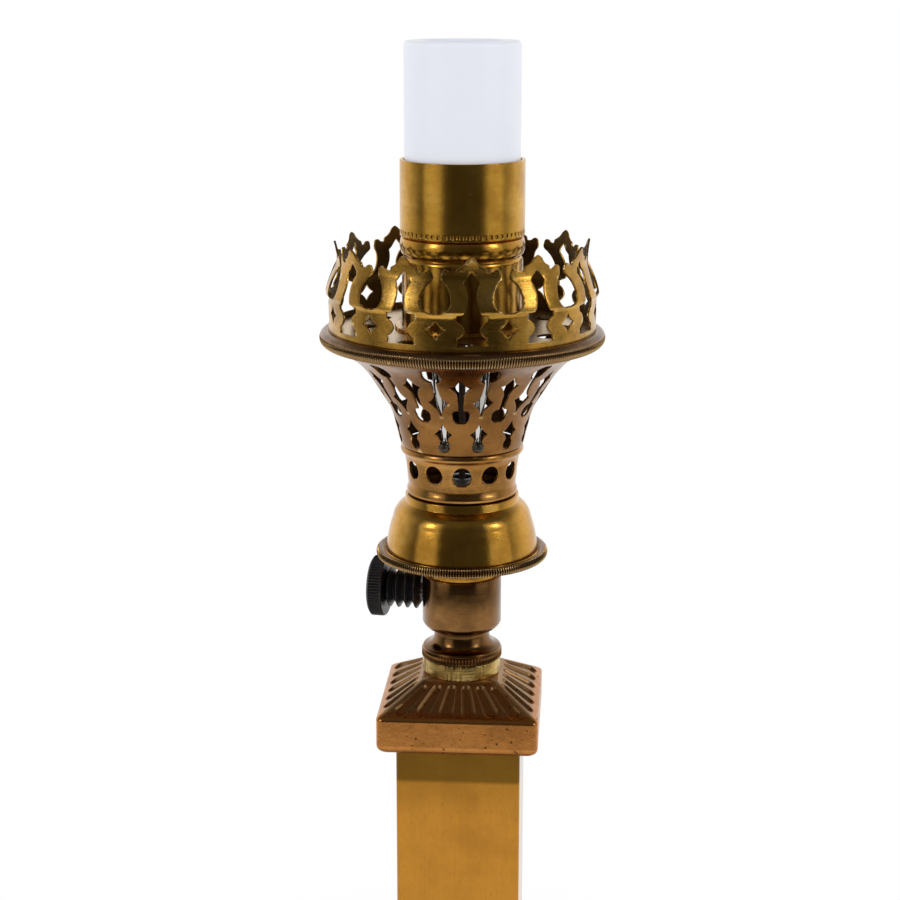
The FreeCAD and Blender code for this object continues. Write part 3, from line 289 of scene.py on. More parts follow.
def fret_sheet(line, openings, first, spacing=0.9, lean=None):
    """Sheet along a line (radius, height) round the axis, repeated twelve times, less the
    openings (angle from the middle of a repeat, outline of (across, height))."""
    line = np.array(line)
    run = np.concatenate([[0], np.cumsum(np.linalg.norm(np.diff(line, axis=0), axis=1))])
    mean = line[:, 0].mean()
    side = math.radians(HALF) * mean
    holes = []
    for offset, outline in openings:
        radius = np.interp(outline[:, 1], line[:, 1], line[:, 0])
        angle = math.radians(offset) + np.arcsin(np.clip(outline[:, 0] / radius, -1, 1))
        along = np.interp(outline[:, 1], line[:, 1], run) + np.maximum(0, outline[:, 1] - line[-1, 1])
        holes.append(np.stack([angle * mean, along], -1))
    down = np.linspace(0, run[-1], math.ceil(run[-1] / spacing) + 1)
    across = np.linspace(-side, side, math.ceil(2 * side / spacing) + 1)
    border = np.concatenate([np.stack([across, 0 * across], -1), np.stack([side + 0 * down, down], -1)[1:],
                             np.stack([across[::-1], run[-1] + 0 * across], -1)[1:],
                             np.stack([-side + 0 * down, down[::-1]], -1)[1:-1]])
    grid = np.stack(np.meshgrid(across[1:-1], down[1:-1]), -1).reshape(-1, 2)
    grid[:, 0] += ((np.round(grid[:, 1] / spacing) % 2) - 0.5) * spacing * 0.4
    edges_at = np.concatenate(holes)
    near = ((grid[:, None, :] - edges_at[None, :, :]) ** 2).sum(-1).min(1)
    grid = grid[near > (0.45 * spacing) ** 2]
    points = [border] + holes + [grid]
    edges = []
    count = 0
    for loop in points[:-1]:
        edges += [(count + k, count + (k + 1) % len(loop)) for k in range(len(loop))]
        count += len(loop)
    made = geometry.delaunay_2d_cdt([tuple(p) for p in np.concatenate(points)], edges, [], 0, 1e-5)
    flat = np.array([tuple(p) for p in made[0]])
    faces = np.array(made[2])
    middle = flat[faces].mean(1)
    keep = (abs(middle[:, 0]) < side) & (middle[:, 1] > 0) & (middle[:, 1] < run[-1])
    for hole in holes:
        keep &= ~inside(middle, hole)
    faces = faces[keep]
    ends = flat[faces]
    area = np.cross(ends[:, 1] - ends[:, 0], ends[:, 2] - ends[:, 0])
    faces[area < 0] = faces[area < 0][:, ::-1]
    faces = faces[abs(area) > 1e-7]
    points, loops = [], []
    for number in range(REPEATS):
        angle = flat[:, 0] / mean + math.radians(first + number * STEP)
        radius = np.interp(flat[:, 1], run, line[:, 0])
        height = np.interp(flat[:, 1], run, line[:, 1])
        if lean is not None:
            radius = radius + lean(angle, height)
        points.append(np.stack([radius * np.sin(angle), -radius * np.cos(angle), height], -1))
        loops.append(faces + number * len(flat))
    return np.concatenate(points), np.concatenate(loops)


def inside(points, outline):
    """Which points lie in a closed outline."""
    ahead = np.roll(outline, -1, axis=0)
    found = np.zeros(len(points), bool)
    for (ax, ay), (bx, by) in zip(outline, ahead):
        if ay != by:
            crosses = (ay > points[:, 1]) != (by > points[:, 1])
            at = (bx - ax) * (points[:, 1] - ay) / (by - ay) + ax
            found ^= crosses & (points[:, 0] < at)
    return found


def joined(*parts):
    points, faces, count = [], [], 0
    for some_points, some_faces in parts:
        points.append(some_points)
        faces += (np.array(some_faces) + count).tolist()
        count += len(some_points)
    return np.concatenate(points), faces


def moved(part, y=0.0, z=0.0, angle=0.0):
    """Moved, then turned about the axis."""
    points = part[0] + np.array([0.0, y, z])
    c, s = math.cos(math.radians(angle)), math.sin(math.radians(angle))
    return points @ np.array([[c, s, 0], [-s, c, 0], [0, 0, 1]]), part[1]


def laid(part, skew):
    """A part turned round the axis, laid on its side: its up points left."""
    x, y, z = part[0].T
    return moved((np.stack([-z, y, x], -1), part[1]), z=knob_z, angle=-skew)


SHARP_ANGLE = 38.0
SHEET_EDGE_ANGLE = 50.0
WELD = 0.02


def make(name, part, finish, body, nodes=(), sheet=0.0, edge=0.12):
    """Blender object from a mesh. A sheet is given its thickness, inwards."""
    mesh = bpy.data.meshes.new(name)
    points = np.asarray(part[0], float) * MM
    faces = part[1] if isinstance(part[1], list) else part[1].tolist()
    mesh.from_pydata(points.tolist(), [], faces)
    tool = bmesh.new()
    tool.from_mesh(mesh)
    if sheet:
        bmesh.ops.remove_doubles(tool, verts=tool.verts, dist=WELD * MM)
        bmesh.ops.delete(tool, geom=[v for v in tool.verts if not v.link_faces], context="VERTS")
    else:
        bmesh.ops.recalc_face_normals(tool, faces=tool.faces)
    tool.to_mesh(mesh)
    tool.free()
    piece = bpy.data.objects.new(name, mesh)
    bpy.context.scene.collection.objects.link(piece)
    if sheet:
        thick = piece.modifiers.new("thick", "SOLIDIFY")
        thick.thickness = sheet * MM
        thick.offset = -1
        thick.use_even_offset = True
        rounded = piece.modifiers.new("rounded", "BEVEL")
        rounded.width = edge * MM
        rounded.segments = 2
        rounded.limit_method = "ANGLE"
        rounded.angle_limit = math.radians(SHEET_EDGE_ANGLE)
        graph = bpy.context.evaluated_depsgraph_get()
        mesh = bpy.data.meshes.new_from_object(piece.evaluated_get(graph))
        piece.modifiers.clear()
        piece.data = mesh
    mesh.polygons.foreach_set("use_smooth", np.ones(len(mesh.polygons), bool))
    mesh.set_sharp_from_angle(angle=math.radians(SHARP_ANGLE))
    mesh.materials.clear()
    mesh.materials.append(finish)
    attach(piece, body)
    if nodes:
        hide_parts(*nodes)
    return piece


# ---- finishes ----

def tone(red, green, blue):
    """Linear colour from the eight-bit values that it shows."""
    return tuple(((v / 255 + 0.055) / 1.055) ** 2.4 if v > 10 else v / 255 / 12.92
                 for v in (red, green, blue)) + (1.0,)


class Finish:
    """A material built up in layers, from Object coordinates in metres."""

    def __init__(self, name, colour, rough, metal=1.0, coat=0.0, world=False):
        if world:
            self.material = bpy.data.worlds.new(name)
        else:
            self.material = bpy.data.materials.new(name)
        self.material.use_nodes = True
        self.tree = self.material.node_tree
        self.seed = 0
        self.colour = tone(*colour)
        self.rough = rough
        self.bumps = None
        if world:
            return
        self.shader = self.tree.nodes["Principled BSDF"]
        self.shader.inputs["Metallic"].default_value = metal
        self.shader.inputs["Coat Weight"].default_value = coat
        self.place = self.add("ShaderNodeTexCoord").outputs["Object"]

    def add(self, kind, values=(), **settings):
        node = self.tree.nodes.new(kind)
        for key, value in settings.items():
            setattr(node, key, value)
        for key, value in dict(values).items():
            self.feed(node.inputs[key], value)
        return node

    def feed(self, entry, value):
        if isinstance(value, bpy.types.NodeSocket):
            self.tree.links.new(value, entry)
        else:
            entry.default_value = value

    def math(self, operation, a, b):
        return self.add("ShaderNodeMath", {0: a, 1: b}, operation=operation).outputs[0]

    def span(self, value, start, end):
        """0 at start to 1 at end, smooth."""
        values = {0: value, 1: start, 2: end}
        return self.add("ShaderNodeMapRange", values, interpolation_type="SMOOTHSTEP").outputs[0]

    def mapped(self, scale, shift):
        """Object coordinates, scaled, and moved elsewhere at each call."""
        self.seed += 1
        values = {"Vector": self.place, "Scale": scale, "Location": tuple(self.seed * v for v in shift)}
        return self.add("ShaderNodeMapping", values).outputs[0]

    def noise(self, size, start, end, stretch=(1, 1, 1)):
        """Mask of soft patches about size millimetres across."""
        place = self.mapped(tuple(v / (size * MM) for v in stretch), (7.3, 3.1, 5.7))
        values = {"Vector": place, "Scale": 1.0, "Detail": 4.0, "Roughness": 0.6}
        return self.span(self.add("ShaderNodeTexNoise", values).outputs[0], start, end)

    def spots(self, size, start, end):
        """Mask of small round spots."""
        place = self.mapped((1 / (size * MM),) * 3, (4.1, 2.7, 6.1))
        node = self.add("ShaderNodeTexVoronoi", {"Vector": place, "Scale": 1.0, "Randomness": 1.0})
        return self.span(node.outputs["Distance"], end, start)

    def height(self, start, end):
        """Mask that rises between two heights in millimetres."""
        axis = self.add("ShaderNodeSeparateXYZ", {0: self.place})
        return self.span(axis.outputs["Z"], start * MM, end * MM)

    def edges(self, start, end):
        """Mask of the raised edges of a dense mesh."""
        return self.span(self.add("ShaderNodeNewGeometry").outputs["Pointiness"], start, end)

    def inner(self):
        """Mask of the faces that look at the lamp's axis, where shade is painted inside hollow parts."""
        flat = self.add("ShaderNodeVectorMath", {0: self.place, 1: (1, 1, 0)}, operation="MULTIPLY")
        way = self.add("ShaderNodeVectorMath", {0: flat.outputs[0]}, operation="NORMALIZE")
        normal = self.add("ShaderNodeTexCoord").outputs["Normal"]
        facing = self.add("ShaderNodeVectorMath", {0: way.outputs[0], 1: normal}, operation="DOT_PRODUCT")
        return self.span(facing.outputs["Value"], -0.05, -0.4)

    def part(self, mask, share):
        """Mask times a share or times another mask."""
        return self.math("MULTIPLY", mask, share)

    def mixed(self, mask, a, b, kind):
        """a where the mask is 0 and b where it is 1, both colours or both numbers."""
        node = self.add("ShaderNodeMix", data_type=kind)
        places = (6, 7, 2) if kind == "RGBA" else (2, 3, 0)
        self.feed(node.inputs[0], mask)
        self.feed(node.inputs[places[0]], a)
        self.feed(node.inputs[places[1]], b)
        return node.outputs[places[2]]

    def layer(self, mask, colour=None, rough=None):
        """Colour and roughness where the mask is 1."""
        if colour is not None:
            self.colour = self.mixed(mask, self.colour, tone(*colour), "RGBA")
        if rough is not None:
            self.rough = self.mixed(mask, self.rough, rough, "FLOAT")

    def bump(self, mask, depth):
        """Relief of that depth in millimetres where the mask is 1."""
        values = {"Strength": 1.0, "Distance": depth * MM, "Height": mask}
        if self.bumps is not None:
            values["Normal"] = self.bumps
        self.bumps = self.add("ShaderNodeBump", values).outputs[0]

    def done(self):
        """Colour, roughness and relief go to the shader."""
        self.feed(self.shader.inputs["Base Color"], self.colour)
        self.feed(self.shader.inputs["Roughness"], self.rough)
        if self.bumps is not None:
            self.feed(self.shader.inputs["Normal"], self.bumps)
        return self.material


def turned_brass(name, colour, dark, pale, rough, lines=0.012):
    """Spun or turned brass: fine lines round it, stains, and duller patches."""
    f = Finish(name, colour, rough)
    f.layer(f.part(f.noise(11, 0.35, 0.7), 0.6), dark)
    f.layer(f.part(f.noise(3.2, 0.52, 0.78), 0.35), dark, rough + 0.12)
    f.layer(f.part(f.noise(16, 0.5, 0.72), 0.5), pale)
    f.layer(f.part(f.spots(2.6, 0.08, 0.18), 0.35), dark, rough + 0.2)
    f.layer(f.part(f.noise(0.9, 0.45, 0.7, (0.05, 0.05, 6)), 0.22), dark, rough + 0.08)
    f.bump(f.noise(0.5, 0.3, 0.7, (0.04, 0.04, 3)), lines)
    f.bump(f.noise(6, 0.2, 0.8), 0.02)
    return f


gold = turned_brass("gold", (214, 160, 66), (160, 108, 38), (232, 188, 100), 0.16, 0.006)
cup_gold = turned_brass("cup_gold", (210, 160, 66), (164, 114, 40), (230, 188, 100), 0.2, 0.008)
bronze = turned_brass("bronze", (188, 136, 70), (132, 90, 44), (212, 162, 98), 0.17, 0.006)
# painted shade: a dark band in the recess at the air collar's foot, above the bowl
painted_recess_shade = bronze.part(bronze.height(air_collar_z - 0.6, air_collar_z - 0.2),
                   bronze.height(air_collar_z + 0.9, air_collar_z + 0.5))
bronze.layer(painted_recess_shade, (84, 58, 30), 0.3)
# painted shade on the faces inside the air collar
bronze.layer(bronze.part(bronze.inner(), 0.8), (66, 42, 22), 0.5)
tarnished = turned_brass("tarnished", (150, 104, 54), (98, 64, 32), (176, 128, 74), 0.22)
# painted shade on the faces inside the basket
tarnished.layer(tarnished.part(tarnished.inner(), 0.8), (52, 34, 18), 0.5)
tarnished.layer(tarnished.part(tarnished.edges(0.53, 0.6), 0.6), (232, 200, 140))
ring_brown = turned_brass("ring_brown", (134, 100, 66), (84, 58, 36), (158, 126, 92), 0.24)
ring_brown.layer(ring_brown.part(ring_brown.edges(0.51, 0.56), 0.6), (214, 180, 122))
ring_brown.layer(ring_brown.part(ring_brown.edges(0.49, 0.44), 0.8), (40, 26, 14), 0.5)
crown_gold = turned_brass("crown_gold", (208, 158, 70), (112, 82, 32), (232, 192, 112), 0.2)
# painted shade on the faces inside the crown
crown_gold.layer(crown_gold.part(crown_gold.inner(), 0.85), (64, 46, 18), 0.5)
crown_gold.layer(crown_gold.part(crown_gold.edges(0.53, 0.6), 0.6), (240, 212, 150))
switch_brown = turned_brass("switch_brown", (136, 97, 55), (84, 58, 32), (170, 126, 78), 0.15, 0.008)
pale_brass = turned_brass("pale_brass", (206, 172, 98), (104, 70, 34), (240, 214, 146), 0.18, 0.02)

iron = Finish("iron", (52, 50, 48), 0.7, 0.6)
iron.bump(iron.noise(1.5, 0.3, 0.7), 0.08)
steel = Finish("steel", (176, 176, 172), 0.34)
steel.layer(steel.part(steel.noise(3, 0.45, 0.7), 0.6), (132, 130, 126), 0.5)
nickel = Finish("nickel", (92, 86, 76), 0.4)
nickel.layer(nickel.part(nickel.noise(2.4, 0.45, 0.7), 0.6), (70, 60, 48), 0.5)
contact = Finish("contact", (214, 178, 96), 0.25)
contact.layer(contact.part(contact.noise(2, 0.45, 0.7), 0.5), (168, 124, 60), 0.4)
black = Finish("black", (22, 21, 22), 0.36, 0.0)
black.layer(black.part(black.noise(2.2, 0.5, 0.7), 0.5), (40, 34, 30), 0.5)
black.layer(black.part(black.edges(0.53, 0.58), black.noise(1.5, 0.35, 0.6)), (84, 52, 32), 0.5)
black.bump(black.noise(0.5, 0.35, 0.7), 0.012)
phenolic = Finish("phenolic", (70, 40, 26), 0.4, 0.0)
phenolic.layer(phenolic.part(phenolic.noise(2, 0.4, 0.7), 0.6), (50, 28, 20), 0.5)
white = Finish("white", (241, 244, 253), 0.3, 0.0)
white.layer(white.part(white.noise(20, 0.35, 0.7), 0.3), (234, 237, 250), 0.36)
white.bump(white.noise(0.6, 0.3, 0.7), 0.006)
porcelain = Finish("porcelain", (236, 232, 222), 0.16, 0.0, 0.3)
porcelain.layer(porcelain.part(porcelain.noise(4, 0.4, 0.7), 0.4), (226, 220, 206), 0.24)
sleeve = Finish("sleeve", (74, 54, 38), 0.75, 0.0)
sleeve.bump(sleeve.noise(0.4, 0.3, 0.7), 0.05)
felt = Finish("felt", (38, 62, 46), 0.95, 0.0)
felt.layer(felt.part(felt.noise(0.6, 0.35, 0.7), 0.7), (58, 84, 64))
felt.bump(felt.noise(0.35, 0.3, 0.7), 0.2)
felt.shader.inputs["Sheen Weight"].default_value = 0.5

cast = Finish("cast", (194, 130, 66), 0.24)
cast.layer(cast.part(cast.noise(11, 0.35, 0.7), 0.6), (166, 106, 52), 0.3)
cast.layer(cast.part(cast.noise(2.4, 0.5, 0.72), 0.35), (150, 98, 52), 0.4)
cast.layer(cast.part(cast.height(cap_z + 14.3, cap_z + 15.3), 0.7), (150, 122, 84), 0.4)
cast.layer(cast.part(cast.edges(0.495, 0.45), 0.6), (74, 54, 34), 0.5)
cast.layer(cast.part(cast.spots(3.4, 0.08, 0.16), 0.8), (60, 40, 26), 0.6)
cast.bump(cast.noise(1.1, 0.35, 0.7), 0.006)
cast.bump(cast.spots(3.4, 0.06, 0.15), -0.06)
cast.bump(cast.noise(9, 0.2, 0.8), 0.04)

column_brass = Finish("column_brass", (188, 130, 50), 0.12)
column_brass.layer(column_brass.part(column_brass.noise(16, 0.35, 0.7), 0.5), (160, 106, 40), 0.16)
specks = column_brass.noise(1.1, 0.52, 0.76, (1, 1, 0.4))
column_brass.layer(column_brass.part(specks, 0.3), (132, 88, 34), 0.24)
column_brass.layer(column_brass.part(column_brass.noise(0.8, 0.45, 0.7, (1, 1, 0.02)), 0.15), (150, 104, 44))
# painted shade: a dark band on the column's top 12 mm under the cap's overhang, and below it a fainter
# painted darkening that fades out 30 mm under the cap
column_brass.layer(column_brass.part(column_brass.height(cap_z - 13.6, cap_z - 11.6), 0.75), (76, 58, 16))
column_brass.layer(column_brass.part(column_brass.height(cap_z - 30, cap_z - 12), 0.3), (110, 78, 24))
column_brass.bump(column_brass.noise(0.6, 0.3, 0.7, (1, 1, 0.03)), 0.002)
column_brass.bump(column_brass.noise(1.6, 0.3, 0.7), 0.003)
column_brass.bump(column_brass.noise(18, 0.2, 0.8), 0.04)

for finish in (gold, cup_gold, bronze, tarnished, ring_brown, crown_gold, switch_brown, pale_brass, iron,
               steel, nickel, contact, black, phenolic, white, porcelain, sleeve, felt, cast, column_brass):
    finish.done()


# ---- base ----

PLINTH_WIDTH = 132.0
PLINTH_FACE = 16.0
PLINTH_TOP = 64.0
PLINTH_WALL = 3.0
PLINTH_FLUTES = 12
PLINTH_SPREAD = 1.15       # flutes' pitch over the cap's
CAST_CORNER = 2.5
BEVEL = 0.9
STEM_BORE = 10.6           # width of the hole for the stem tube
GLAND_HEIGHT = 8.0
GLAND_HOLE = 6.2


def fluted_block(lower, slope_width, slope_z, top_width, top_z, after, corner, count, spread, step, side):
    """Skin of a square block whose upper part slopes in and carries flutes."""
    run = (slope_width - top_width) / 2
    rise = top_z - slope_z
    slope = math.hypot(run, rise)
    rows = np.linspace(0, 1, math.ceil(slope / step) + 1)
    sloping = [(slope_width - 2 * run * s, slope_z + rise * s) for s in rows]
    levels = list(lower) + sloping + list(after)
    first = len(lower)

    def sunk(across, index):
        row = index - first
        if not 0 <= row < len(rows):
            return 0 * across, 0.0, 0.0
        along = np.full_like(across, rows[row] * slope)
        depth = flute_field(across, along, slope, count, spread)
        return depth, rise / slope, run / slope

    return square_rings(levels, corner, side, sunk)


face_z = plinth_z + PLINTH_FACE
hollow = PLINTH_WIDTH - 2 * PLINTH_WALL
plinth = fluted_block(
    [(hollow, plinth_z), (PLINTH_WIDTH - 1, plinth_z), (PLINTH_WIDTH - 0.3, plinth_z + 0.15),
     (PLINTH_WIDTH, plinth_z + 0.5)] + [(PLINTH_WIDTH, plinth_z + z) for z in np.arange(1, PLINTH_FACE, 0.75)]
    + [(PLINTH_WIDTH, face_z - 0.1), (PLINTH_WIDTH - 0.25, face_z + 0.3)],
    PLINTH_WIDTH - 2 * BEVEL, face_z + BEVEL, PLINTH_TOP, plinth_top_z - 0.3,
    [(PLINTH_TOP - 0.5, plinth_top_z), (STEM_BORE, plinth_top_z), (STEM_BORE, plinth_top_z - PLINTH_WALL),
     (PLINTH_TOP - 6, plinth_top_z - PLINTH_WALL), (hollow - 1.5, face_z - 1.5), (hollow, face_z - 2.5)],
    CAST_CORNER, PLINTH_FLUTES, PLINTH_SPREAD, 0.5, 240)
middles = plinth[0][plinth[1]].mean(1)
from_gland = np.hypot(middles[:, 0], middles[:, 2] - plinth_z - GLAND_HEIGHT)
in_hole = (middles[:, 1] > hollow / 2 - PLINTH_WALL) & (from_gland < GLAND_HOLE)
plinth = (plinth[0], plinth[1][~in_hole])
make("plinth_casting", plinth, cast.material, "lamp", ["base_plinth"])
felt_low = low("felt_pad")
felt_wide = (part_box("felt_pad")[1].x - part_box("felt_pad")[0].x) / MM
felt_piece = make("felt_sheet", square_rings(
    [(4, felt_low), (felt_wide - 1, felt_low), (felt_wide - 0.2, felt_low + 0.3), (felt_wide, felt_low + 0.9),
     (felt_wide - 0.1, plinth_z - 0.4), (felt_wide - 0.8, plinth_z - 0.02), (4, plinth_z - 0.02)],
    CAST_CORNER, 90), felt.material, "lamp", ["felt_pad"])

# ---- column ----

COLUMN_WIDTH = 44.4
COLUMN_WALL = 1.5
COLUMN_CORNER = 1.6
FOOT_WIDTH = 57.4
FOOT_ROUND = 3.0


def rounded_side(width, start, end, radius, steps=7):
    """Levels (width, height) of a face whose lower or upper edge is rounded."""
    levels = []
    for share in np.linspace(0, 1, steps):
        angle = math.radians(90 * share)
        levels.append((width - 2 * radius * (1 - math.sin(angle)),
                       start + (end - start) * (1 - math.cos(angle))))
    return levels


def tube_levels(width, inner_width, start, end):
    return [(inner_width, start), (width - 0.3, start), (width, start + 0.15), (width, end - 0.15),
            (width - 0.3, end), (inner_width, end)]


column_levels = tube_levels(COLUMN_WIDTH, COLUMN_WIDTH - 2 * COLUMN_WALL, column_z, cap_z)
make("column_sleeve", square_rings(column_levels, COLUMN_CORNER), column_brass.material, "lamp",
     ["column_tube"])
foot_levels = rounded_side(FOOT_WIDTH, plinth_top_z, plinth_top_z + FOOT_ROUND, FOOT_ROUND)
foot_levels += rounded_side(FOOT_WIDTH, column_z, column_z - FOOT_ROUND, FOOT_ROUND)[::-1]
foot_levels = [(STEM_BORE, plinth_top_z)] + foot_levels + [(STEM_BORE, column_z)]
make("foot_moulding", square_rings(foot_levels, CAST_CORNER), cast.material, "lamp",
     ["foot_block"])

CAP_WIDTH = 57.4
CAP_FACE = 12.9
CAP_UNDER = 3.0
CAP_TOP = 28.0
CAP_FLUTES = 6
cap_face_z = cap_z + CAP_FACE
cap = fluted_block(
    [(STEM_BORE, cap_z), (CAP_WIDTH - 8, cap_z)]
    + rounded_side(CAP_WIDTH, cap_z, cap_z + CAP_UNDER, CAP_UNDER)
    + [(CAP_WIDTH, cap_z + z) for z in np.arange(CAP_UNDER + 0.3, CAP_FACE - 0.3, 0.6)]
    + [(CAP_WIDTH, cap_face_z - 0.2), (CAP_WIDTH - 0.5, cap_face_z + 0.35)],
    CAP_WIDTH - 2 * BEVEL, cap_face_z + BEVEL, CAP_TOP, cap_top_z - 0.3,
    [(CAP_TOP - 0.6, cap_top_z), (STEM_BORE, cap_top_z)], CAST_CORNER, CAP_FLUTES, 1.0, 0.3, 190)
make("cap_casting", cap, cast.material, "lamp", ["column_cap"])


# ---- lock ring, neck, switch body ----

LOCK_RING_RADIUS = 14.1
LOCK_RING_NICKS = 26


def nicked(angle, radius, height):
    """Shallow nicks and dents round the lock ring's face."""
    draw = np.random.RandomState(5)
    sunk = 0 * radius
    for _ in range(LOCK_RING_NICKS):
        place = draw.uniform(0, 2 * math.pi)
        wide = draw.uniform(0.008, 0.04)
        deep = draw.uniform(0.1, 0.4)
        lean = draw.uniform(-0.02, 0.02)
        away = (angle - place - lean * (height - neck_z) + math.pi) % (2 * math.pi) - math.pi
        sunk = np.maximum(sunk, deep * np.exp(-(away / wide) ** 2))
    return np.where(radius > LOCK_RING_RADIUS - 2.1, -sunk, 0)


ring_low = low("lock_ring")
make("lock_ring_face", lathe(
    [(BORE, ring_low), (LOCK_RING_RADIUS, ring_low), (LOCK_RING_RADIUS, neck_z), (BORE, neck_z)],
    720, 0.35, shift=nicked), pale_brass.material, "lamp", ["lock_ring"])


def milled(teeth, first, last, depth, least):
    """Ribs on the part of a round piece between two heights."""
    def shift(angle, radius, height):
        mask = smooth((height - first) / 0.25) * smooth((last - height) / 0.25) * (radius > least)
        return mask * depth * (np.cos(angle * teeth) * 0.5 - 0.5)
    return shift


NECK_WIDE = 14.5
NECK_WAIST = 10.0
NECK_TEETH = 76
lip_z = neck_z + 0.3
knurl_z = lip_z + 2.6
make("neck_turning", lathe(
    [(BORE, neck_z), (NECK_WIDE - 1, neck_z), (NECK_WIDE - 1, lip_z), (NECK_WIDE, lip_z),
     (NECK_WIDE, lip_z + 0.6), (NECK_WIDE, knurl_z - 0.6), (NECK_WIDE, knurl_z),
     (NECK_WIDE - 0.5, knurl_z + 0.3), (NECK_WIDE - 0.8, knurl_z + 1.2, 0.25),
     (NECK_WAIST + 0.8, knurl_z + 3.0, -0.35),
     (NECK_WAIST, switch_z - 1.0, -0.3), (NECK_WAIST, switch_z), (BORE, switch_z)],
    NECK_TEETH * 8, 0.15, 0.3, shift=milled(NECK_TEETH, lip_z + 0.1, knurl_z, 0.7, NECK_WIDE - 1.5)),
    switch_brown.material, "lamp", ["neck_flange"])

SWITCH_RADIUS = 14.2
SWITCH_BORE = 12.7
BODY_COLLAR = 13.3
make("switch_shell", lathe(
    [(BORE, switch_z), (SWITCH_RADIUS - 3, switch_z), (SWITCH_RADIUS, switch_z + 3, 0.5),
     (SWITCH_RADIUS, collar_z), (SWITCH_BORE, collar_z), (SWITCH_BORE, switch_z + 5),
     (SWITCH_RADIUS - 3.6, switch_z + 2), (BORE, switch_z + 2)],
    256, 0.3), switch_brown.material, "lamp", ["switch_body"])
make("collar_turning", lathe(
    [(BORE, collar_z), (BODY_COLLAR, collar_z), (BODY_COLLAR, bowl_z), (BORE, bowl_z)], 256, 0.2),
     gold.material, "lamp", ["body_collar"])

# ---- knob ----

KNOB_SKEW = 8.0
KNOB_REACH = 33.3
KNOB_THICK = 5.6
KNOB_RADIUS = 10.95
KNOB_TEETH = 64
KNOB_RIDGES = 4
RIDGE = 7.2
VALLEY = 5.0
SHAFT = 2.05
knob_start = SWITCH_RADIUS + 0.5
knob_end = KNOB_REACH - KNOB_THICK
ridge_pitch = (knob_end - knob_start) / KNOB_RIDGES
knob_line = [(SHAFT, knob_start), (VALLEY, knob_start)]
for ridge in range(KNOB_RIDGES):
    at = knob_start + ridge * ridge_pitch
    knob_line += [(RIDGE, at + 0.43 * ridge_pitch), (RIDGE, at + 0.6 * ridge_pitch, 0.3),
                  (VALLEY, at + ridge_pitch)]
knob_line += [(KNOB_RADIUS - 0.5, knob_end), (KNOB_RADIUS, knob_end + 0.5), (KNOB_RADIUS, knob_end + 1.0),
              (KNOB_RADIUS, KNOB_REACH - 1.2), (KNOB_RADIUS, KNOB_REACH - 0.8),
              (KNOB_RADIUS - 1.2, KNOB_REACH), (KNOB_RADIUS - 2.4, KNOB_REACH - 0.5),
              (NO_HOLE, KNOB_REACH - 0.1), (NO_HOLE, knob_end)]
knob_teeth = milled(KNOB_TEETH, knob_end + 0.4, KNOB_REACH - 0.5, 0.5, 9.5)
knob = lathe(knob_line, KNOB_TEETH * 10, 0.25, 0.3, shift=knob_teeth)
make("knob_moulding", laid(knob, KNOB_SKEW), black.material, "knob", ["switch_knob"])


# ---- bowl ----

BOWL_FOOT = 27.2
BOWL_SHOULDER = 24.6
BOWL_COLLAR = 20.2
BOWL_WALL = 0.9
BOWL_RING_RADIUS = 29.0
BOWL_RING_SECTION = 1.7
shoulder_z = bowl_z + 14.8
bowl_collar_z = bowl_z + 20.4
bowl_ring_z = (low("bowl_ring") + high("bowl_ring")) / 2
make("bowl_spinning", lathe(
    [(BOWL_BORE, air_collar_z - BOWL_WALL), (BOWL_COLLAR - BOWL_WALL, air_collar_z - BOWL_WALL),
     (BOWL_COLLAR - BOWL_WALL, bowl_collar_z - 0.4), (BOWL_SHOULDER - BOWL_WALL, shoulder_z, -0.9),
     (BOWL_FOOT - BOWL_WALL, bowl_z, -0.45), (BOWL_FOOT, bowl_z), (BOWL_FOOT + 0.8, bowl_z + 0.6),
     (BOWL_FOOT + 0.8, bowl_z + 2.0), (BOWL_FOOT - 0.05, bowl_z + 2.6), (BOWL_SHOULDER, shoulder_z, 0.4),
     (BOWL_COLLAR, bowl_collar_z, 0.9), (BOWL_COLLAR, air_collar_z), (BOWL_BORE, air_collar_z)],
    256, 0.5, 0.4), gold.material, "lamp", ["bowl"])
bowl_bead = knurled_ring(BOWL_RING_RADIUS, BOWL_RING_SECTION, bowl_ring_z, 200, 0.65, -120, 65)
make("bowl_bead", bowl_bead, ring_brown.material, "lamp", ["bowl_ring"])


# ---- air collar, basket, gallery ----

def circle(radius, height, count=40):
    angle = np.linspace(0, 2 * math.pi, count, endpoint=False)
    return np.stack([radius * np.sin(angle), height + radius * np.cos(angle)], -1)


AIR_COLLAR_FOOT = 19.0
AIR_COLLAR_TOP = 20.6
AIR_COLLAR_FLOOR = 18.4
AIR_COLLAR_TURN = 3.7
AIR_HOLE_RADIUS = 3.25
AIR_HOLE_HEIGHT = 10.3
bead_z = basket_z - 3.2
collar_line = path([(AIR_COLLAR_FOOT, air_collar_z), (AIR_COLLAR_FOOT, air_collar_z + 3.3, 0.6),
                    (AIR_COLLAR_FOOT + 0.3, air_collar_z + 6.3), (AIR_COLLAR_TOP - 0.4, bead_z - 1.5),
                    (AIR_COLLAR_TOP, bead_z), (AIR_COLLAR_TOP, basket_z, 1.2)], 0.4, closed=False, cut=True)
air_holes = [(0, circle(AIR_HOLE_RADIUS, air_collar_z + AIR_HOLE_HEIGHT))]
make("air_collar_sheet", fret_sheet(collar_line, air_holes, AIR_COLLAR_TURN, 0.7), bronze.material, "lamp",
     ["air_collar"], sheet=0.8, edge=0.2)
make("air_collar_floor", lathe(
    [(BOWL_BORE, air_collar_z), (AIR_COLLAR_FLOOR, air_collar_z), (AIR_COLLAR_FLOOR, air_collar_z + 1),
     (BOWL_BORE, air_collar_z + 1)], 128), bronze.material, "lamp")

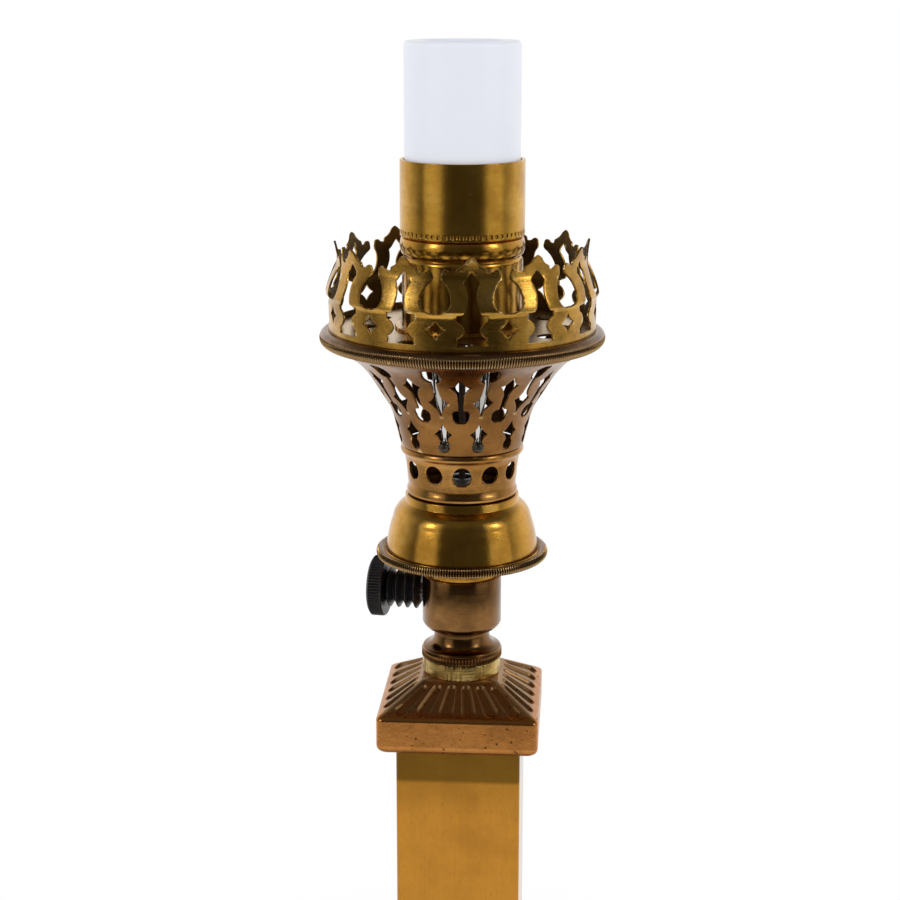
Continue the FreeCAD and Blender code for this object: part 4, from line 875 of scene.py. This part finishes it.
BASKET = [(21.65, 0.0), (23.3, 6.8), (25.3, 13.3), (29.4, 20.2), (33.4, 26.3), (37.9, 30.9), (43.0, 34.2)]
RING_RADIUS = 47.2
RING_SECTION = 2.7
BASKET_TURN = 2.8
BASKET_END = 234.0         # degrees round the ring's section where the basket ends
BASKET_SHEET = 0.7
basket_reach = RING_SECTION + 0.25
basket_end = (RING_RADIUS + basket_reach * math.cos(math.radians(BASKET_END)),
              ring_z - basket_z + basket_reach * math.sin(math.radians(BASKET_END)))
UPWARD_KEYHOLE = mirrored([(0, 12.3), (2.85, 14.6, 1.0), (0.95, 17.2, 1.0), (1.15, 21.4, -0.1),
                           (3.8, 26.4, -0.9), (1.2, 28.0, -0.45), (0, 29.8)])
DOWNWARD_KEYHOLE = mirrored([(0, 14.6), (1.2, 17.6, -0.15), (3.6, 20.4), (1.0, 24.0, -0.7),
                             (0.75, 28.4, -0.1), (2.9, 31.4, 1.0), (0, 33.4, 1.0)])
LOWER_KEYHOLE = mirrored([(0, 1.4), (2.0, 3.4, 0.586), (1.2, 5.0, 0.2), (3.1, 8.1, -0.4), (0, 12.2, -0.5)])


def opening(corners, foot):
    """Outline of an opening whose heights count from the foot."""
    return path(raised(corners, foot), 0.35, cut=True)


basket_line = smooth_line([(r, h + basket_z) for r, h in BASKET + [basket_end]], 0.5)
basket_openings = [(0, opening(UPWARD_KEYHOLE, basket_z))]
for corners in (DOWNWARD_KEYHOLE, LOWER_KEYHOLE):
    basket_openings += [(-HALF, opening(corners, basket_z)), (HALF, opening(corners, basket_z))]
make("basket_sheet", fret_sheet(basket_line, basket_openings, BASKET_TURN), tarnished.material, "lamp",
     ["basket"], sheet=BASKET_SHEET)
gallery_bead = knurled_ring(RING_RADIUS, RING_SECTION, ring_z, 330, 0.5, -95, 24)
make("gallery_bead", gallery_bead, ring_brown.material, "lamp", ["gallery_ring"])

CROWN_TURN = 7.7
CROWN_RADIUS = 46.6
CROWN_SHEET = 0.7
CROWN_TIPS = 24
crown_line = path([(CROWN_RADIUS, crown_z), (CROWN_RADIUS, crown_z + 12), (47.5, crown_z + 13.6, 0.25),
                   (43.8, crown_z + 24, 0.3), (45.3, crown_z + 32, -0.3)], 0.5, closed=False, cut=True)
ARCH = mirrored([(0, 2.2), (5.4, 2.2), (5.2, 4.4, -0.5), (2.5, 7.3, -0.5), (5.2, 10.2, -0.5), (5.3, 11.8),
                 (3.0, 12.8), (1.55, 18.2, -0.3), (2.8, 22.7, -0.3), (0, 26.2)])
DIAMOND = mirrored([(0, 4.1), (3.5, 7.3, -0.45), (0, 10.5, -0.45)])
NOTCH = mirrored([(0, 12.5), (5.0, 17.6, 1.9), (2.1, 23.0, 0.6), (1.5, 25.2, -0.5), (3.9, 26.2, -1.0),
                  (6.3, 25.8, 0.3), (7.2, 27.3, -0.3), (9.8, 29.4, 0.3), (12.46, 31.0, -0.3), (12.46, 37),
                  (0, 37)])


def crown_lean(angle, height):
    """Tips bent a little in or out, each its own way."""
    draw = np.random.RandomState(11)
    tips = draw.uniform(-0.7, 0.5, CROWN_TIPS)
    places = np.linspace(0, 2 * math.pi, CROWN_TIPS + 1)
    lean = np.interp(angle % (2 * math.pi), places, np.append(tips, tips[0]))
    return lean * smooth((height - crown_z - 14) / 17)


crown_openings = [(0, opening(ARCH, crown_z))]
for corners in (DIAMOND, NOTCH):
    crown_openings += [(-HALF, opening(corners, crown_z)), (HALF, opening(corners, crown_z))]
make("crown_sheet", fret_sheet(crown_line, crown_openings, CROWN_TURN, lean=crown_lean), crown_gold.material,
     "lamp", ["shade_crown"], sheet=CROWN_SHEET)

# domed ends of the four carrier legs, outside the basket's foot
LEG_CIRCLE = 23.4
LEG_HEIGHT = 3.4
LEG_HEAD = 1.7
dome = lathe([(NO_HOLE, 0), (LEG_HEAD, 0), (LEG_HEAD, 0.3), (NO_HOLE, 1.1, 0.35)], 40, 0.1, 0.15)
head = (dome[0][:, [0, 2, 1]] * np.array([1, -1, 1]), dome[1])
heads = []
for side_turn in (0, 180):
    for offset in (-HALF, HALF):
        leg_turn = side_turn + BASKET_TURN + offset
        heads.append(moved(head, y=-LEG_CIRCLE, z=basket_z + LEG_HEIGHT, angle=leg_turn))
make("leg_heads", joined(*heads), nickel.material, "lamp")


# ---- socket, cup and skirt ----

SOCKET_RADIUS = 21.0
SOCKET_FLANGE = 23.5
SOCKET_GROOVE = 20.2
SOCKET_SWELL = 21.2
socket_shoulder = socket_z + 23.2
groove_z = socket_z + 25.2
make("socket_spinning", lathe(
    [(SOCKET_RADIUS - 1, socket_z), (SOCKET_FLANGE, socket_z), (SOCKET_FLANGE, socket_z + 1),
     (SOCKET_RADIUS, socket_z + 1), (SOCKET_RADIUS, socket_shoulder), (SOCKET_GROOVE, groove_z, 0.3),
     (SOCKET_SWELL, groove_z + 1.2), (SOCKET_SWELL, cup_z - 0.8, 0.5), (SOCKET_GROOVE, cup_z), (BORE, cup_z),
     (BORE, cup_z - 1), (SOCKET_GROOVE - 1, cup_z - 1), (SOCKET_SWELL - 1, cup_z - 1.8),
     (SOCKET_SWELL - 1, groove_z + 1.2), (SOCKET_GROOVE - 1, groove_z), (SOCKET_RADIUS - 1, socket_shoulder)],
    256, 0.3, 0.4),
    gold.material, "lamp", ["socket_body"])


CUP_RADIUS = 21.6
CUP_BORE = 20.4
CUP_DENTS = 60
CUP_DENT_HEIGHT = 1.5
CUP_DENT_DEPTH = 0.4


def dentils(angle, radius, height):
    """Row of small dents round the cup's foot."""
    wave = smooth((np.cos(angle * CUP_DENTS) - 0.1) / 0.5)
    mask = smooth(1 - (abs(height - cup_z - CUP_DENT_HEIGHT) - 0.45) / 0.3) * (radius > SOCKET_RADIUS)
    return -CUP_DENT_DEPTH * wave * mask


make("cup_turning", lathe(
    [(BORE, cup_z), (CUP_RADIUS, cup_z)] + [(CUP_RADIUS, cup_z + z) for z in np.arange(0.4, 4.0, 0.2)]
    + [(CUP_RADIUS, cup_rim_z), (CUP_BORE, cup_rim_z), (CUP_BORE, cup_z + 1), (BORE, cup_z + 1)],
    CUP_DENTS * 10, 0.25, shift=dentils),
    cup_gold.material, "lamp", ["socket_cup"])

SKIRT_RADIUS = 20.0
SKIRT_BORE = 18.3
SLEEVE_RADIUS = 14.9
THREAD_RADIUS = 13.3
THREAD_PITCH = 3.62
THREAD_DEPTH = 0.9
sleeve_z = skirt_top_z - 28
split_z = low("holder_skirt")


def thread(angle, radius, height):
    """Round thread of a screw lamp cap, which stands in from the sleeve's bore."""
    wave = 0.5 + 0.5 * np.cos(2 * math.pi * (height / THREAD_PITCH) - angle)
    mask = smooth((skirt_top_z - 3 - height) / 2) * smooth((height - sleeve_z - 1) / 2)
    return -THREAD_DEPTH * wave * mask * (radius < THREAD_RADIUS + 0.2)


make("skirt_moulding", lathe(
    [(THREAD_RADIUS, sleeve_z), (SLEEVE_RADIUS, sleeve_z), (SLEEVE_RADIUS, skirt_top_z - 2.5),
     (SKIRT_BORE, skirt_top_z - 2.5), (SKIRT_BORE, split_z), (SKIRT_RADIUS, split_z),
     (SKIRT_RADIUS, skirt_top_z - 1.4), (SKIRT_RADIUS - 1.4, skirt_top_z, 0.4),
     (THREAD_RADIUS + 0.8, skirt_top_z), (THREAD_RADIUS, skirt_top_z - 0.8)],
    256, 0.25, 0.45, cut=True, shift=thread), white.material, "lamp", ["holder_skirt"])

# ---- finishes of the parts that keep their solid's mesh ----

PLAIN = {
    "iron": ["base_weight"],
    "steel": ["base_cover", "cover_screws", "stem_washer", "stem_nut", "stem_tube", "body_nut",
              "switch_cover", "switch_shaft", "upper_tube", "air_collar_nut", "holder_tube", "holder_nut",
              "gland_nut"],
    "black": ["cord_gland", "switch_block"],
    "phenolic": ["switch_rotor"],
    "contact": ["switch_contacts", "switch_screws", "centre_contact", "side_contact", "terminal_screws"],
    "tarnished": ["gallery_plate"],
    "gold": ["bowl_floor"],
    "nickel": ["carrier_legs"],
    "white": ["holder_cap"],
    "porcelain": ["holder_core"],
    "sleeve": ["lead_wires"],
}
for name, nodes in PLAIN.items():
    for node in nodes:
        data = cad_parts[node].data
        for index in range(max(1, len(data.materials))):
            if index < len(data.materials):
                data.materials[index] = bpy.data.materials[name]
            else:
                data.materials.append(bpy.data.materials[name])


# ---- floor, lights and surroundings ----

# in metres
FLOOR_RADIUS = 0.96
FLOOR_DROP = 0.0002
FLOOR_FADE_START = 0.2
FLOOR_FADE_END = 0.6
# strengths that metal sees in front, above and below, and the strength that lights matt faces
FRONT_LEVEL = 0.05
TOP_LEVEL = 0.10
LOW_LEVEL = 0.7
MATT_LEVEL = 0.74


def make_floor():
    """Pale round floor that keeps the shadow near the lamp and fades into the white."""
    mesh = bpy.data.meshes.new("floor")
    angles = np.linspace(0, 2 * math.pi, 96, endpoint=False)
    rim = [(FLOOR_RADIUS * math.cos(a), FLOOR_RADIUS * math.sin(a), -FLOOR_DROP) for a in angles]
    mesh.from_pydata(rim, [], [tuple(range(len(rim)))])
    floor = bpy.data.objects.new("floor", mesh)
    bpy.context.scene.collection.objects.link(floor)
    f = Finish("floor_finish", (236, 236, 236), 0.8, 0.0)
    f.done()
    away = f.add("ShaderNodeVectorMath", {0: f.place}, operation="LENGTH").outputs["Value"]
    ray = f.add("ShaderNodeLightPath").outputs
    seen = f.math("MAXIMUM", ray["Is Camera Ray"], ray["Is Glossy Ray"])
    seen = f.math("MAXIMUM", seen, ray["Is Transmission Ray"])
    share = f.math("MULTIPLY", f.span(away, FLOOR_FADE_START, FLOOR_FADE_END), seen)
    glow = f.add("ShaderNodeEmission", {"Color": (1, 1, 1, 1), "Strength": 1.0})
    both = f.add("ShaderNodeMixShader", {0: share, 1: f.shader.outputs[0], 2: glow.outputs[0]})
    f.feed(f.tree.nodes["Material Output"].inputs["Surface"], both.outputs[0])
    mesh.materials.append(f.material)


make_floor()


def make_world():
    """White for the camera; metal sees a dim room in front and above, white behind."""
    w = Finish("studio", (255, 255, 255), 0.5, world=True)
    w.tree.nodes.clear()
    way = w.add("ShaderNodeTexCoord").outputs["Generated"]
    axis = w.add("ShaderNodeSeparateXYZ", {0: way}).outputs
    ray = w.add("ShaderNodeLightPath").outputs
    seen = w.math("MAXIMUM", ray["Is Camera Ray"], ray["Is Transmission Ray"])
    back = w.span(axis["Y"], -0.45, 0.75)
    level = w.mixed(back, FRONT_LEVEL, 1.0, "FLOAT")
    level = w.mixed(w.span(axis["Z"], 0.25, 0.8), level, TOP_LEVEL, "FLOAT")
    level = w.mixed(w.span(axis["Z"], -0.45, -0.9), level, LOW_LEVEL, "FLOAT")
    strength = w.mixed(ray["Is Glossy Ray"], MATT_LEVEL, level, "FLOAT")
    strength = w.mixed(seen, strength, 1.0, "FLOAT")
    glow = w.add("ShaderNodeBackground", {"Color": (1, 1, 1, 1), "Strength": strength})
    w.add("ShaderNodeOutputWorld", {"Surface": glow.outputs[0]})
    bpy.context.scene.world = w.material


make_world()


def make_light(name, angle, rise, wide, tall, power, far):
    """Upright soft light at an angle round the lamp, turned to it. Sizes are in metres."""
    data = bpy.data.lights.new(name, "AREA")
    data.shape = "RECTANGLE"
    data.size = wide
    data.size_y = tall
    data.energy = power
    light = bpy.data.objects.new(name, data)
    bpy.context.scene.collection.objects.link(light)
    a = math.radians(angle)
    light.location = (far * math.sin(a), -far * math.cos(a), rise)
    light.rotation_euler = (math.radians(90), 0, a)
    light.visible_camera = False


for kind, *settings in (("light", 0.75, 0.7, 1.3, 1.7, 1.1), ("core", 0.95, 0.2, 0.32, 1.1, 1.08)):
    for side_name, light_angle in (("left", -52), ("right", 64)):
        make_light(side_name + "_" + kind, light_angle, *settings)

bpy.context.scene.view_settings.view_transform = "Standard"
